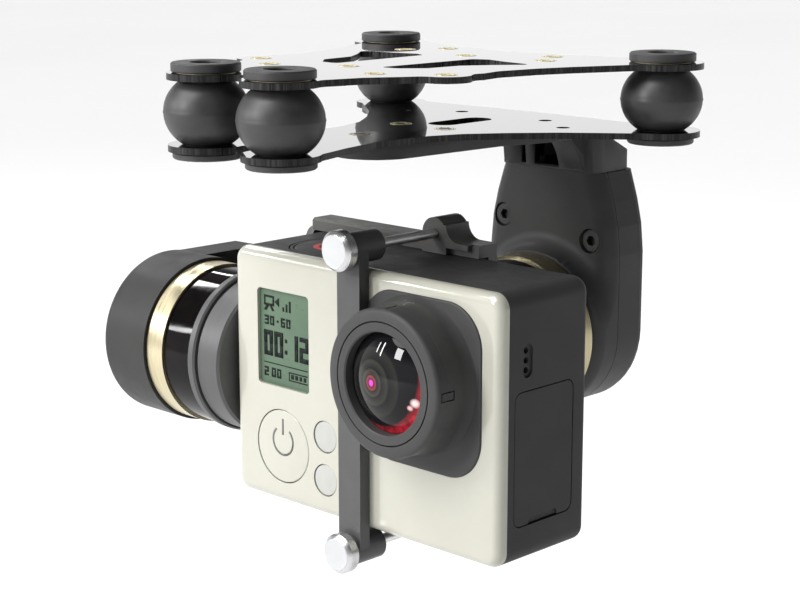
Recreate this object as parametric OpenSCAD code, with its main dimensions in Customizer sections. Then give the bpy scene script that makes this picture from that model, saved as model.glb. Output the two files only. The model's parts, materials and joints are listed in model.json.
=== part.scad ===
// Two-axis brushless camera gimbal with a clamped action camera.
// Millimetres. +Z is up, the lens looks along -Y, the pitch motor is on the -X side.
// The origin is on the top face of the upper plate, at the centre of its four mounting holes.

/* [Plates] */
// Thickness of both deck plates
plate_t = 1; // [0.8:0.1:1.5]
// Height from the lower plate's top face to the upper plate's top face
deck_pitch = 10.7; // [10.5:0.1:11]
// Half the spacing of the two front isolators
front_x = 8.2; // [8:0.1:9]
// Y of the front isolators
front_y = -36; // [-37:0.5:-35]
// Half the spacing of the two rear isolators
rear_x = 30; // [28:0.5:31]
// Y of the rear isolators
rear_y = 25.3; // [23:0.1:26]
// Half the X spacing of the four mounting holes
mount_x = 11.6; // [11.2:0.1:12]
// Half the Y spacing of the four mounting holes
mount_y = 20.4; // [20:0.1:21]
// Diameter of the mounting holes
mount_d = 2.2; // [2:0.1:2.4]

/* [Isolators] */
// Diameter of the rubber flanges
flange_d = 10.5; // [10:0.1:11]
// Diameter of the rubber ball at its waist
ball_d = 13.1; // [12:0.1:13.5]
// Diameter of the neck in the plate hole
neck_d = 6.7; // [6:0.1:7]
// Diameter of the open end of the hollow
hollow_d = 4.5; // [4:0.1:5]

/* [Axes] */
// Depth of both motor axes below the upper plate's top face
axis_drop = 48.95; // [48.5:0.05:49.5]
// Y of the pitch axis
pitch_y = -14.2; // [-14.4:0.1:-14]
// X of the open end of the pitch motor
pitch_open_x = -35; // [-35.2:0.1:-34.8]
// Y of the open end of the roll motor
roll_open_y = 29.9; // [29.7:0.1:30.1]

/* [Motors] */
// Outside radius of the gold ring and of the output disc
ring_r = 13.6; // [13.4:0.1:13.7]
// Outside radius of the bell
bell_r = 13.2; // [13.1:0.05:13.3]
// Length of the gold ring
ring_len = 4; // [3:0.5:5]
// Length of the bell with its end wall
bell_len = 10.4; // [10:0.1:11]
// Number of stator teeth
teeth = 12; // [9:3:12]
// Number of magnets
magnets = 14; // [10:2:16]

/* [Housings] */
// Outside radius of both motor housings
shell_r = 14.1; // [14:0.1:14.3]
// Wall thickness of the housings
wall = 1.4; // [1.2:0.1:1.6]
// Depth of the pitch motor's cup
cup_len = 11.6; // [11.4:0.1:12.5]
// Y of the roll housing's front face
roll_front_y = 33.2; // [33:0.1:33.4]
// Y of the roll housing's rear face
roll_rear_y = 44.2; // [43.8:0.1:45]

/* [Camera] */
// Width of the camera
cam_w = 56.8; // [56:0.1:58]
// Depth of the camera without its lens
cam_d = 19.6; // [19:0.1:20]
// Height of the camera
cam_h = 40.5; // [40:0.1:41]
// X of the camera's left side
cam_x = -16.8; // [-17:0.1:-16.6]
// Y of the camera's front face
cam_y = -24; // [-24.2:0.1:-23.8]
// Thickness of the front plate
face_t = 1.8; // [1.5:0.1:2]

/* [Clamp] */
// Width of the clamp bar
bar_w = 4.7; // [4:0.1:5]
// Distance of each thumb screw above or below the pitch axis
screw_rise = 23.45; // [23.2:0.05:23.8]
// Diameter of the thumb screws' rods
rod_d = 1.6; // [1.4:0.1:1.8]
// Diameter of the thumb screws' heads
knob_d = 6.2; // [5.5:0.1:6.5]

/* [Hidden] */
$fn = 64;
hull_fn = 32;
fit = 0.02;
lower_z = -deck_pitch;
lower_under = lower_z - plate_t;
axis_z = -axis_drop;
cam_z = axis_z - cam_h / 2;
cam_back = cam_y + cam_d;
bar_x = cam_x + 28.4;
frame_grey = "#464646";
plate_black = "#141414";
rubber_grey = "#303032";
gold = "#d8c894";
steel = "#b8b8bc";
ivory = "#ecebdc";

// Motor stack, measured along the shaft from the open end of the bell
mount_front = -4.9;
mount_back = -7;
tube_r = 4.3;
tube_end = 7.6;
bearing_r = 3.5;
bearing_len = 2.5;
shaft_r = 2;
disc_len = 1.7;
hub_r = 13;
hub_end = 17.5;
hub_screw_r = 7.5;
mount_screw_r = 9.4;
core_start = 1.4;
core_end = 6.6;
core_r = 11.3;

// Lens, measured from the camera's left side and bottom
lens_x = cam_x + 40.6;
lens_z = cam_z + 26.3;
lens_r = 11.1;

// ---------- placing helpers ----------

// Turns a motor drawn along +Z so that it runs along +X on the pitch axis
module on_pitch() {
  translate([pitch_open_x, pitch_y, axis_z]) rotate([0, 90, 0]) children();
}

// Turns a motor drawn along +Z so that it runs along -Y on the roll axis
module on_roll() {
  translate([0, roll_open_y, axis_z]) rotate([90, 0, 0]) children();
}

module both_sides() {
  children();
  mirror([1, 0, 0]) children();
}

// A bar of round section along Y
module rod_y(r, y0, y1, x, z) {
  translate([x, y1, z]) rotate([90, 0, 0]) cylinder(r = r, h = y1 - y0);
}

// A bar of round section along X
module rod_x(r, x0, x1, y, z) {
  translate([x0, y, z]) rotate([0, 90, 0]) cylinder(r = r, h = x1 - x0);
}

// A box given by its lowest and highest corners
module box(low, high) {
  translate(low) cube(high - low);
}

// A box with rounded corners in the XZ plane
module rounded_xz(low, high, r) {
  translate([0, high[1], 0])
    rotate([90, 0, 0])
      linear_extrude(high[1] - low[1])
        round_rect(low[0], low[2], high[0], high[2], r);
}

// A rectangle with true round corners
module round_rect(x0, y0, x1, y1, r) {
  translate([x0 + r, y0]) square([x1 - x0 - 2 * r, y1 - y0]);
  translate([x0, y0 + r]) square([x1 - x0, y1 - y0 - 2 * r]);
  for (x = [x0 + r, x1 - r], y = [y0 + r, y1 - r]) translate([x, y]) circle(r);
}

// ---------- plates and isolators ----------

// Lobes of a deck plate around the isolators
module lobes(front_r, rear_r) {
  translate([front_x, front_y]) circle(front_r);
  translate([rear_x, rear_y]) circle(rear_r);
}

module isolator_holes(r) {
  for (side = [-1, 1]) {
    translate([side * front_x, front_y]) circle(r);
    translate([side * rear_x, rear_y]) circle(r);
  }
}

module upper_outline() {
  offset(r = -2.5) offset(r = 2.5)
    both_sides() {
      lobes(5.9, 6.5);
      polygon([[0, -31], [6, -37], [13, -33.5], [15, -26], [18, -21.5], [20, -18], [23, -9],
        [22.2, -5], [23.6, 2.5], [25.6, 8], [30.5, 18.5], [32, 28], [25, 28.6], [12, 24.4],
        [0, 22.8]]);
      translate([20.3, -14.4]) circle(3.9);
    }
}

// One wing-shaped slot of the upper plate
module upper_slot() {
  offset(r = 1) polygon([[5.9, -11.4], [7.8, -11.2], [10.4, -8.4], [11, -2], [14, 2.6],
    [17, 6.2], [12, 6.9], [8, 8], [6.4, 7.2]]);
}

module upper_plate() {
  color(plate_black) translate([0, 0, -plate_t]) linear_extrude(plate_t) difference() {
    upper_outline();
    isolator_holes(neck_d / 2 + 0.25);
    for (x = [-mount_x, mount_x], y = [-mount_y, mount_y]) translate([x, y]) circle(d = mount_d);
    for (x = [-20.3, 20.3]) translate([x, -14.4]) circle(d = mount_d);
    for (x = [-15.5, 15.5]) translate([x, 14]) circle(d = mount_d);
    for (y = [-14.5, 12.3]) translate([0, y]) circle(d = mount_d);
    both_sides() upper_slot();
  }
}

module lower_outline() {
  offset(r = -2.5) offset(r = 2.5)
    both_sides() {
      lobes(5.9, 6.2);
      polygon([[0, -30], [6, -37], [13, -33.5], [10.4, -25], [8.6, -17], [9.4, -6.5],
        [11.4, -1], [15.5, 4.7], [21, 10.8], [26, 15], [31, 19], [31, 28.6], [26, 29],
        [10, 29.7], [0, 29.8]]);
    }
}

module lower_plate() {
  color(plate_black) translate([0, 0, lower_under]) linear_extrude(plate_t) difference() {
    lower_outline();
    isolator_holes(neck_d / 2 + 0.25);
    bracket_hole_places() circle(r = 1.1);
    for (x = [-9.3, 9.3]) translate([x, 21.6]) circle(r = 1.1);
    for (x = [-17.5, 17.5]) translate([x, 16.2]) circle(r = 1.1);
    hull() {
      translate([0, 7]) circle(r = 2.5, $fn = hull_fn);
      translate([0, 15]) circle(r = 2.5, $fn = hull_fn);
    }
  }
}

// The three places where the bracket is screwed to the lower plate
module bracket_hole_places() {
  translate([0, -12]) children();
  both_sides() translate([4.9, 2.1]) children();
}

// Hollow rubber ball with a flange above the upper plate and one below the lower plate
module isolator(x, y) {
  gap = 0.15;
  top = 1.5;
  bottom = lower_under - 1.1;
  mid = (lower_z - plate_t) / 2;
  half = (deck_pitch - plate_t) / 2 - gap;
  neck_r = neck_d / 2;
  belly_b = half / sqrt(1 - pow(2 * (neck_r + 0.7) / ball_d, 2));
  belly = [for (i = [0:16]) let (h = half * (1 - i / 8))
    [ball_d / 2 * sqrt(1 - pow(h / belly_b, 2)), mid + h]];
  cavity = [for (i = [0:12]) let (h = half * 0.78 * (i / 6 - 1))
    [hollow_d / 2 + (ball_d / 2 - 1.5 - hollow_d / 2) * sqrt(1 - pow(h / (half * 0.78), 2)),
      mid + h]];
  color(rubber_grey) translate([x, y, 0]) rotate_extrude() polygon(concat(
    [[hollow_d / 2, top], [flange_d / 2, top], [flange_d / 2, gap], [neck_r, gap],
      [neck_r, -plate_t - gap]],
    belly,
    [[neck_r, lower_z + gap], [neck_r, lower_under - gap], [flange_d / 2, lower_under - gap],
      [flange_d / 2, bottom], [hollow_d / 2, bottom]],
    cavity));
}

module isolator_front_left() { isolator(-front_x, front_y); }
module isolator_front_right() { isolator(front_x, front_y); }
module isolator_rear_left() { isolator(-rear_x, rear_y); }
module isolator_rear_right() { isolator(rear_x, rear_y); }

// ---------- roll bracket and housing ----------

base_t = 2.5;
seam_z = -20.8;
neck_half = 10.9;
neck_front = 33;
neck_rear = 42.4;

module roll_bracket() {
  base_z = lower_under - base_t;
  color(frame_grey) difference() {
    union() {
      // flat base under the lower plate, with a round nose in front
      translate([0, 0, base_z]) linear_extrude(base_t) {
        translate([0, -8.5]) circle(r = 7.2);
        polygon([[-7.2, -8.5], [-8.3, 12], [-neck_half, 22], [-neck_half, 26], [neck_half, 26],
          [neck_half, 22], [8.3, 12], [7.2, -8.5]]);
      }
      // neck, with a top that slopes down to the rear
      translate([-neck_half, 0, 0]) rotate([90, 0, 90]) linear_extrude(2 * neck_half)
        difference() {
          polygon([[24, lower_under], [31.2, lower_under], [neck_rear, -17.4],
            [neck_rear, seam_z], [neck_front, seam_z], [neck_front, base_z - 4],
            [neck_front - 4, base_z - 4], [neck_front - 4, base_z], [24, base_z]]);
          translate([neck_front - 4, base_z - 4]) circle(r = 4);
        }
    }
    // cable opening in the front of the neck, under a sloping roof
    translate([-6.4, 0, 0]) rotate([90, 0, 90]) linear_extrude(9.2)
      polygon([[20, -20], [neck_rear - 1.4, -20], [neck_rear - 1.4, -18.3], [33.4, base_z], [20, base_z]]);
    box([-8.8, 34.8, seam_z - 1], [8.8, neck_rear - 1.4, -18.5]);
    bracket_hole_places() translate([0, 0, base_z - 1]) cylinder(r = 1.1, h = base_t + 2);
    bracket_hole_places() translate([0, 0, base_z - 0.01])
      cylinder(r1 = 2.1, r2 = 1.1, h = 1.2);
    // holes that carry on through the base from the lower plate
    for (x = [-9.3, 9.3]) translate([x, 21.6, base_z - 1]) cylinder(r = 1.1, h = base_t + 2);
  }
}

// Countersunk screws driven up through the bracket into the lower plate
module bracket_screws() {
  base_z = lower_under - base_t;
  color(steel) bracket_hole_places() translate([0, 0, base_z]) difference() {
    union() {
      cylinder(r1 = 2.05, r2 = 1.03, h = 1.15);
      cylinder(r = 1.03, h = base_t + plate_t);
    }
    translate([0, 0, -0.1]) cylinder(r = 0.8, h = 0.9, $fn = 6);
  }
}

// Outline of the roll housing in the XZ plane, about the roll axis
module roll_outline(inset) {
  r = shell_r - inset;
  top = seam_z - axis_z;
  circle(r);
  polygon([[-r, 0], [r, 0], [r, 14], [r - 0.5, 19], [12.6 - inset, 23.2], [11 - inset, top],
    [-11 + inset, top], [-12.6 + inset, 23.2], [-r + 0.5, 19], [-r, 14]]);
}

// A slice of the roll housing between two Y planes
module roll_slice(y0, y1, inset) {
  translate([0, y1, axis_z]) rotate([90, 0, 0]) linear_extrude(y1 - y0) roll_outline(inset);
}

cover_split = 36.4;
cover_r = 3;
collar_y = 30.2;
cove_x = 17.2;
cover_screw_places = [[-9.8, -30], [9.8, -32.4]];

// Front half of the roll housing, with a collar around the motor
module roll_front_cover() {
  color(frame_grey) difference() {
    union() {
      hull() for (a = [0:22.5:90])
        roll_slice_fine(roll_front_y + cover_r * (1 - cos(90 - a)), cover_r * (1 - sin(90 - a)));
      roll_slice(roll_front_y + cover_r, cover_split, 0);
      intersection() {
        rotate_about_roll() rotate_extrude() difference() {
          polygon([[12, collar_y], [cove_x - 3, collar_y], [cove_x, roll_front_y], [cove_x, roll_front_y + 1],
            [12, roll_front_y + 1]]);
          translate([cove_x, collar_y]) circle(r = 3);
        }
        roll_slice(collar_y - 1, roll_front_y + 2, 0);
      }
    }
    // room inside
    difference() {
      roll_slice(roll_front_y + 1.6, cover_split + 1, wall);
      for (p = cover_screw_places) rod_y(2.4, roll_front_y, cover_split, p[0], p[1]);
    }
    rotate_about_roll() translate([0, 0, collar_y - 1]) cylinder(r = 12.2, h = 6);
    for (p = cover_screw_places) {
      rod_y(1.05, 30, 38, p[0], p[1]);
      rod_y(2, 30, roll_front_y + 2, p[0], p[1]);
    }
  }
}

// Thin slice with few sides, for the rounded front edge
module roll_slice_fine(y, inset) {
  translate([0, y, axis_z]) rotate([90, 0, 0]) linear_extrude(0.02) roll_outline(inset, $fn = 48);
}

// Puts a turned shape, drawn along +Z by its Y value, on the roll axis
module rotate_about_roll() {
  translate([0, 0, axis_z]) rotate([-90, 0, 0]) children();
}

// Rear half of the roll housing
module roll_rear_shell() {
  edge = 2;
  color(frame_grey) difference() {
    union() {
      roll_slice(cover_split, roll_rear_y - edge, 0);
      hull() for (a = [0:22.5:90])
        roll_slice_fine(roll_rear_y - edge * (1 - cos(90 - a)), edge * (1 - sin(90 - a)));
    }
    difference() {
      roll_slice(cover_split - 1, roll_rear_y - 1.6, wall);
      for (p = cover_screw_places) rod_y(2.4, cover_split - 1, roll_rear_y, p[0], p[1]);
      for (x = [-5, 5]) rod_y(1.6, 41, roll_rear_y, x, -28);
    }
    for (p = cover_screw_places) rod_y(1, 30, 42, p[0], p[1]);
    // cable way from the bracket
    box([-6, 36.9, seam_z - 3], [6, 40.4, seam_z + 1]);
  }
}

// Socket screws that hold the front cover to the rear shell
module roll_cover_screws() {
  color(steel) for (p = cover_screw_places) difference() {
    union() {
      rod_y(0.98, roll_front_y + 0.8, 41.5, p[0], p[1]);
      rod_y(1.85, roll_front_y + 0.5, roll_front_y + 2, p[0], p[1]);
    }
    translate([p[0], roll_front_y + 1.5, p[1]]) rotate([90, 0, 0]) cylinder(r = 0.95, h = 2, $fn = 6);
  }
}

// Motor driver board with its processor and plugs
module controller_board() {
  color("#1f5a3a") box([-7.2, 40, -35], [7.2, 41, -22.6]);
  color("#202020") box([-3, 38.8, -32], [3, 40, -26]);
  color("#d8d4c4") for (x = [-5.6, 2.2]) box([x, 37.6, -25.6], [x + 3.4, 40, -23]);
}

// ---------- motor pieces, drawn along +Z from the open end of the bell ----------

// Flange and bearing tube that hold the stator
module stator_mount_shape() {
  difference() {
    union() {
      translate([0, 0, mount_back]) cylinder(r = 12.65, h = mount_front - mount_back);
      translate([0, 0, mount_back]) cylinder(r = tube_r, h = tube_end - mount_back);
      translate([0, 0, mount_front]) cylinder(r = 6, h = core_start - mount_front);
    }
    translate([0, 0, mount_back - 1]) cylinder(r = 3, h = 20);
    translate([0, 0, mount_back - 1]) cylinder(r = bearing_r + fit, h = bearing_len + 1);
    translate([0, 0, tube_end - bearing_len]) cylinder(r = bearing_r + fit, h = 5);
    for (i = [0:5]) rotate(i * 60) translate([9.3, 0, mount_back - 1]) cylinder(r = 1.6, h = 4);
    mount_screw_places() translate([0, 0, mount_back - 1]) cylinder(r = 1.02, h = 4);
  }
}

// Three screw places between the flange's wire holes
module mount_screw_places() {
  for (i = [0:2]) rotate(i * 120 + 30) translate([mount_screw_r, 0, 0]) children();
}

// Laminated core with its ring of teeth
module stator_core_shape() {
  tip = 260 / teeth;
  translate([0, 0, core_start]) linear_extrude(core_end - core_start) difference() {
    union() {
      circle(5.8);
      for (i = [0:teeth - 1]) rotate(i * 360 / teeth) {
        translate([0, -0.7]) square([10.8, 1.4]);
        intersection() {
          difference() {
            circle(core_r);
            circle(core_r - 0.9);
          }
          polygon([[0, 0], [14, -14 * tan(tip / 2)], [14, 14 * tan(tip / 2)]]);
        }
      }
    }
    circle(tube_r + fit);
  }
}

// One coil of wire around each tooth
module windings_shape() {
  for (i = [0:teeth - 1]) rotate(i * 360 / teeth) difference() {
    translate([6.4, -1.5, core_start - 0.9]) cube([3.7, 3, core_end - core_start + 1.8]);
    translate([6, -0.7 - fit, core_start - fit]) cube([5, 1.4 + 2 * fit, core_end - core_start + 2 * fit]);
  }
}

// Two ball bearings in the tube
module bearings_shape() {
  for (z = [mount_back, tube_end - bearing_len]) translate([0, 0, z]) difference() {
    cylinder(r = bearing_r, h = bearing_len);
    translate([0, 0, -1]) cylinder(r = shaft_r + 0.03, h = bearing_len + 2);
    translate([0, 0, -0.01]) difference() {
      cylinder(r = 3.1, h = 0.3);
      translate([0, 0, -1]) cylinder(r = 2.5, h = 2);
    }
  }
}

// Turning can, closed at its far end
module bell_shape() {
  inner_r = 12.5;
  wall_start = bell_len - 1.5;
  difference() {
    union() {
      translate([0, 0, 0.2]) cylinder(r = 12.9, h = ring_len - 0.2);
      translate([0, 0, ring_len]) cylinder(r = bell_r, h = bell_len - ring_len);
    }
    translate([0, 0, -1]) cylinder(r = inner_r, h = wall_start + 1);
    translate([0, 0, -1]) cylinder(r = shaft_r + fit, h = 20);
    hub_screw_places() translate([0, 0, wall_start - 1]) cylinder(r = 1.02, h = 5);
  }
}

module gold_ring_shape() {
  difference() {
    cylinder(r = ring_r, h = ring_len);
    translate([0, 0, -1]) cylinder(r = 12.9 + fit, h = ring_len + 2);
  }
}

module magnets_shape() {
  translate([0, 0, 1]) difference() {
    cylinder(r = 12.48, h = 6.2);
    translate([0, 0, -1]) cylinder(r = 11.7, h = 9);
    for (i = [0:magnets - 1]) rotate(i * 360 / magnets) translate([0, -0.3, -1]) cube([14, 0.6, 9]);
  }
}

module shaft_shape() {
  difference() {
    translate([0, 0, -8.6]) cylinder(r = shaft_r, h = 8.6 + bell_len + 1.2);
    translate([0, 0, -9]) cylinder(r = 1.1, h = 30);
    translate([0, 0, -8]) clip_groove();
  }
}

module clip_groove() {
  difference() {
    cylinder(r = 3, h = 0.6);
    translate([0, 0, -1]) cylinder(r = 1.6, h = 3);
  }
}

// Snap ring behind the rear bearing
module clip_shape() {
  translate([0, 0, -7.95]) difference() {
    cylinder(r = 2.9, h = 0.5);
    translate([0, 0, -1]) cylinder(r = 1.65, h = 3);
    translate([0, -1, -1]) cube([4, 2, 3]);
  }
}

module hub_screw_places() {
  for (i = [0:3]) rotate(45 + i * 90) translate([hub_screw_r, 0, 0]) children();
}

// Screws from the output face into the bell, with sunk heads
module hub_screws_shape() {
  hub_screw_places() difference() {
    union() {
      translate([0, 0, bell_len - 1.4]) cylinder(r = 1, h = 5);
      translate([0, 0, hub_end - 3.4]) cylinder(r = 1, h = 2.2);
      translate([0, 0, hub_end - 1.4]) cylinder(r = 1.8, h = 1.3);
    }
    translate([0, 0, hub_end - 0.9]) cylinder(r = 0.9, h = 2, $fn = 6);
  }
}

module hub_screw_holes() {
  hub_screw_places() {
    translate([0, 0, bell_len - 1]) cylinder(r = 1.02, h = 10);
    translate([0, 0, hub_end - 1.4 - fit]) cylinder(r = 1.82, h = 5);
  }
}

// ---------- roll motor ----------

module roll_stator_mount() { color(frame_grey) on_roll() stator_mount_shape(); }
module roll_stator_core() { color("#6a6a6e") on_roll() stator_core_shape(); }
module roll_windings() { color("#b06a34") on_roll() windings_shape(); }
module roll_bearings() { color(steel) on_roll() bearings_shape(); }
module roll_bell() { color(plate_black) on_roll() bell_shape(); }
module roll_gold_ring() { color(gold) on_roll() gold_ring_shape(); }
module roll_magnets() { color("#8a8a8a") on_roll() magnets_shape(); }
module roll_shaft() { color(steel) on_roll() shaft_shape(); }
module roll_shaft_clip() { color(steel) on_roll() clip_shape(); }

module roll_output_disc() {
  color("#8c8c8c") on_roll() difference() {
    translate([0, 0, bell_len]) cylinder(r = ring_r, h = disc_len);
    translate([0, 0, bell_len - 1]) cylinder(r = shaft_r + fit, h = 5);
    hub_screw_holes();
  }
}

// ---------- roll arm ----------

arm_back_y = 18.2;
arm_front_y = roll_open_y - hub_end;
arm_x0 = pitch_open_x - cup_len;

// Elbow from the roll motor's output round to the cup of the pitch motor
module roll_arm() {
  side_x = arm_x0 + 7;
  color(frame_grey) difference() {
    union() {
      on_roll() translate([0, 0, bell_len + disc_len]) cylinder(r = hub_r, h = hub_end - bell_len - disc_len);
      cup_body();
      hull() {
        rod_y(12.4, arm_front_y, arm_back_y - 0.4, 0, axis_z, $fn = hull_fn);
        rod_y(2, arm_front_y, arm_back_y - 0.4, -34, axis_z + 8, $fn = hull_fn);
        rod_y(2, arm_front_y, arm_back_y - 0.4, -34, axis_z - 8, $fn = hull_fn);
      }
      hull() {
        for (s = [-1, 1]) {
          translate([-34, arm_front_y + 2.7, axis_z + s * 8]) sphere(r = 2.7, $fn = hull_fn);
          translate([-41.5, 7, axis_z + s * 9.5]) sphere(r = 3, $fn = hull_fn);
          translate([-40.4, 10.6, axis_z + s * 8.4]) sphere(r = 3, $fn = hull_fn);
          translate([-43.6, 4, axis_z + s * 10]) sphere(r = 3, $fn = hull_fn);
        }
      }
      hull() {
        for (s = [-1, 1]) {
          translate([-43.4, 5.2, axis_z + s * 9.6]) sphere(r = 3, $fn = hull_fn);
          rod_x(1.4, arm_x0 + 0.4, side_x, 1.5, axis_z + s * 12.2, $fn = hull_fn);
        }
        rod_x(13.7, arm_x0 + 0.4, side_x, pitch_y, axis_z, $fn = hull_fn);
      }
    }
    cup_room();
    on_roll() hub_screw_holes();
    on_roll() translate([0, 0, bell_len - 1]) cylinder(r = 1.6, h = 20);
    // relief for the cradle's lugs as the camera tilts
    rod_x(lug_sweep, 8.2, 20, pitch_y, axis_z);
  }
}

// Outside of the pitch motor's cup, with a rounded outer edge
module cup_body() {
  round_r = 1.4;
  on_pitch() rotate_extrude() {
    polygon([[0, -cup_len], [shell_r - round_r, -cup_len], [shell_r, -cup_len + round_r],
      [shell_r, -0.3], [0, -0.3]]);
    translate([shell_r - round_r, -cup_len + round_r]) circle(round_r);
  }
}

// Room for the pitch motor, a ledge for its mount and the seat of the end cap
module cup_room() {
  on_pitch() {
    translate([0, 0, mount_back]) cylinder(r = 12.75, h = 20);
    translate([0, 0, -cup_len - 1]) cylinder(r = 11.4, h = 20);
    translate([0, 0, -cup_len - 1]) cylinder(r = cap_r + fit, h = cap_t + 1);
  }
}

module roll_arm_screws() { color(steel) on_roll() hub_screws_shape(); }

// ---------- pitch motor ----------

cap_t = 1.5;
cap_r = 12.3;

module pitch_motor_cap() {
  color(frame_grey) on_pitch() difference() {
    union() {
      translate([0, 0, -cup_len]) cylinder(r = cap_r, h = cap_t);
      mount_screw_places() translate([0, 0, -cup_len]) cylinder(r = 1.8, h = cup_len + mount_back);
    }
    mount_screw_places() translate([0, 0, -cup_len - 1]) {
      cylinder(r = 1.02, h = 8);
      cylinder(r = 1.82, h = 1.9);
    }
  }
}

// Screws through the cap's posts into the stator's flange
module pitch_cap_screws() {
  color(steel) on_pitch() mount_screw_places() translate([0, 0, -cup_len]) difference() {
    union() {
      cylinder(r = 1.8, h = 0.85);
      cylinder(r = 1, h = 6.6);
    }
    translate([0, 0, -1]) cylinder(r = 0.8, h = 1.5, $fn = 6);
  }
}

module pitch_stator_mount() { color(frame_grey) on_pitch() stator_mount_shape(); }
module pitch_stator_core() { color("#6a6a6e") on_pitch() stator_core_shape(); }
module pitch_windings() { color("#b06a34") on_pitch() windings_shape(); }
module pitch_bearings() { color(steel) on_pitch() bearings_shape(); }
module pitch_bell() { color(plate_black) on_pitch() bell_shape(); }
module pitch_gold_ring() { color(gold) on_pitch() gold_ring_shape(); }
module pitch_magnets() { color("#8a8a8a") on_pitch() magnets_shape(); }
module pitch_shaft() { color(steel) on_pitch() shaft_shape(); }
module pitch_shaft_clip() { color(steel) on_pitch() clip_shape(); }

plate_y0 = cam_back + 0.15;
plate_y1 = plate_y0 + 2;
flange_x0 = -18.5;
flange_x1 = -17;
flange_y0 = -6.6;
cradle_screw_y = -4.6;
cradle_screw_z = 3;

// Stepped output disc that carries the cradle
module pitch_output_hub() {
  color("#8c8c8c") difference() {
    on_pitch() difference() {
      rotate_extrude() polygon([[shaft_r + fit, bell_len], [ring_r - 0.3, bell_len],
        [ring_r, bell_len + 0.3], [ring_r, bell_len + disc_len - 0.3],
        [ring_r - 0.3, bell_len + disc_len], [hub_r - 0.4, bell_len + disc_len],
        [hub_r - 0.4, bell_len + disc_len + 0.4], [hub_r, bell_len + disc_len + 0.4],
        [hub_r, hub_end - 0.4], [hub_r - 0.4, hub_end], [0, hub_end], [0, bell_len + 1.3],
        [shaft_r + fit, bell_len + 1.3]]);
      hub_screw_holes();
    }
    // seat for the cradle's side flange
    box([flange_x0 - fit, flange_y0 - fit, axis_z - 15], [0, 10, axis_z + 15]);
    cradle_screw_places() rod_x(1.02, -22.6, -15, 0, 0);
  }
}

// The two screw places of the cradle's side flange
module cradle_screw_places() {
  for (s = [-1, 1]) translate([0, cradle_screw_y, axis_z + s * cradle_screw_z]) children();
}

module hub_screws() { color(steel) on_pitch() hub_screws_shape(); }

// ---------- cradle and clamp ----------

cradle_x1 = 20;
lip = 2.1;
lip_x0 = -17;
lug_y0 = -7.5;
lug_y1 = plate_y1;
lug_r = 2.5;
foot_r = 2.6;
foot_x1 = 18.6;
lug_sweep = 29.1;

// Back plate with hooked lips, a side flange and two threaded lugs
module cradle() {
  half = cam_h / 2 + lip;
  color(frame_grey) difference() {
    union() {
      box([lip_x0, plate_y0, axis_z - half], [cradle_x1, plate_y1, axis_z + half]);
      translate([flange_x0, 0, 0]) rotate([90, 0, 90]) linear_extrude(flange_x1 - flange_x0)
        round_rect(flange_y0, axis_z - 20.7, plate_y1, axis_z + 20.7, 1.8);
      cradle_half();
      translate([0, 0, 2 * axis_z]) mirror([0, 0, 1]) cradle_half();
    }
    for (s = [-1, 1]) rod_y(rod_d / 2 + 0.05, -12, lug_y1 - 0.5, bar_x, axis_z + s * screw_rise);
    cradle_screw_places() {
      rod_x(1.02, -20, -15, 0, 0);
      rod_x(1.62, flange_x1 - 0.9, -15, 0, 0);
    }
  }
}

// Upper lip, lug and foot of the cradle
module cradle_half() {
  z0 = cam_z + cam_h;
  z1 = z0 + lip;
  screw_z = axis_z + screw_rise;
  rounded_lip(z0, z1);
  rod_y(lug_r, lug_y0, lug_y1, bar_x, screw_z);
  box([bar_x - lug_r, lug_y0, z0 + 0.1], [bar_x + lug_r, lug_y1, screw_z]);
  // foot that flares out beside the lug
  difference() {
    box([bar_x, lug_y0, z1 - 0.9], [foot_x1, lug_y1, z1 + foot_r]);
    rod_y(foot_r, lug_y0 - 1, lug_y1 + 1, bar_x + lug_r + foot_r, z1 + foot_r);
    box([bar_x + lug_r + foot_r, lug_y0 - 1, z1], [foot_x1 + 1, lug_y1 + 1, z1 + 9]);
  }
}

// Lip that hooks over the camera's rear edge
module rounded_lip(z0, z1) {
  translate([lip_x0, 0, 0]) rotate([90, 0, 90]) linear_extrude(cradle_x1 - lip_x0) {
    polygon([[-6.5, z0 + 0.1], [plate_y1, z0 + 0.1], [plate_y1, z1], [-6.1, z1], [-6.5, z1 - 0.4]]);
    polygon([[plate_y0, z0 - 1], [plate_y1, z0 - 1], [plate_y1, z1], [plate_y0, z1]]);
  }
}

// Flush screws from inside the cradle into the output hub
module cradle_screws() {
  color(steel) cradle_screw_places() difference() {
    union() {
      rod_x(1, -22.4, flange_x1 - 0.5, 0, 0);
      rod_x(1.6, flange_x1 - 0.88, flange_x1 - 0.05, 0, 0);
    }
    translate([flange_x1 - 0.6, 0, 0]) rotate([0, 90, 0]) cylinder(r = 0.8, h = 1, $fn = 6);
  }
}

// Small sensor board behind the cradle
module imu_sensor() {
  color("#1f5a3a") box([-6, plate_y1, axis_z - 6], [6, plate_y1 + 1, axis_z + 6]);
  color("#202020") box([-2, plate_y1 + 1, axis_z - 2], [2, plate_y1 + 1.9, axis_z + 2]);
}

bar_y0 = cam_y - 2.1;
sleeve_y0 = cam_y - 2.8;
sleeve_y1 = cam_y + 3.5;
sleeve_r = 2.4;

// Bar across the camera's front, with a sleeve at each end for the thumb screws
module clamp_bar() {
  color("#5e5e5e") difference() {
    union() {
      box([bar_x - bar_w / 2, bar_y0, axis_z - screw_rise], [bar_x + bar_w / 2, cam_y - 0.1, axis_z + screw_rise]);
      for (s = [-1, 1]) rod_y(sleeve_r, sleeve_y0, sleeve_y1, bar_x, axis_z + s * screw_rise);
    }
    for (s = [-1, 1]) rod_y(rod_d / 2 + 0.06, sleeve_y0 - 1, sleeve_y1 + 1, bar_x, axis_z + s * screw_rise);
  }
}

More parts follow.
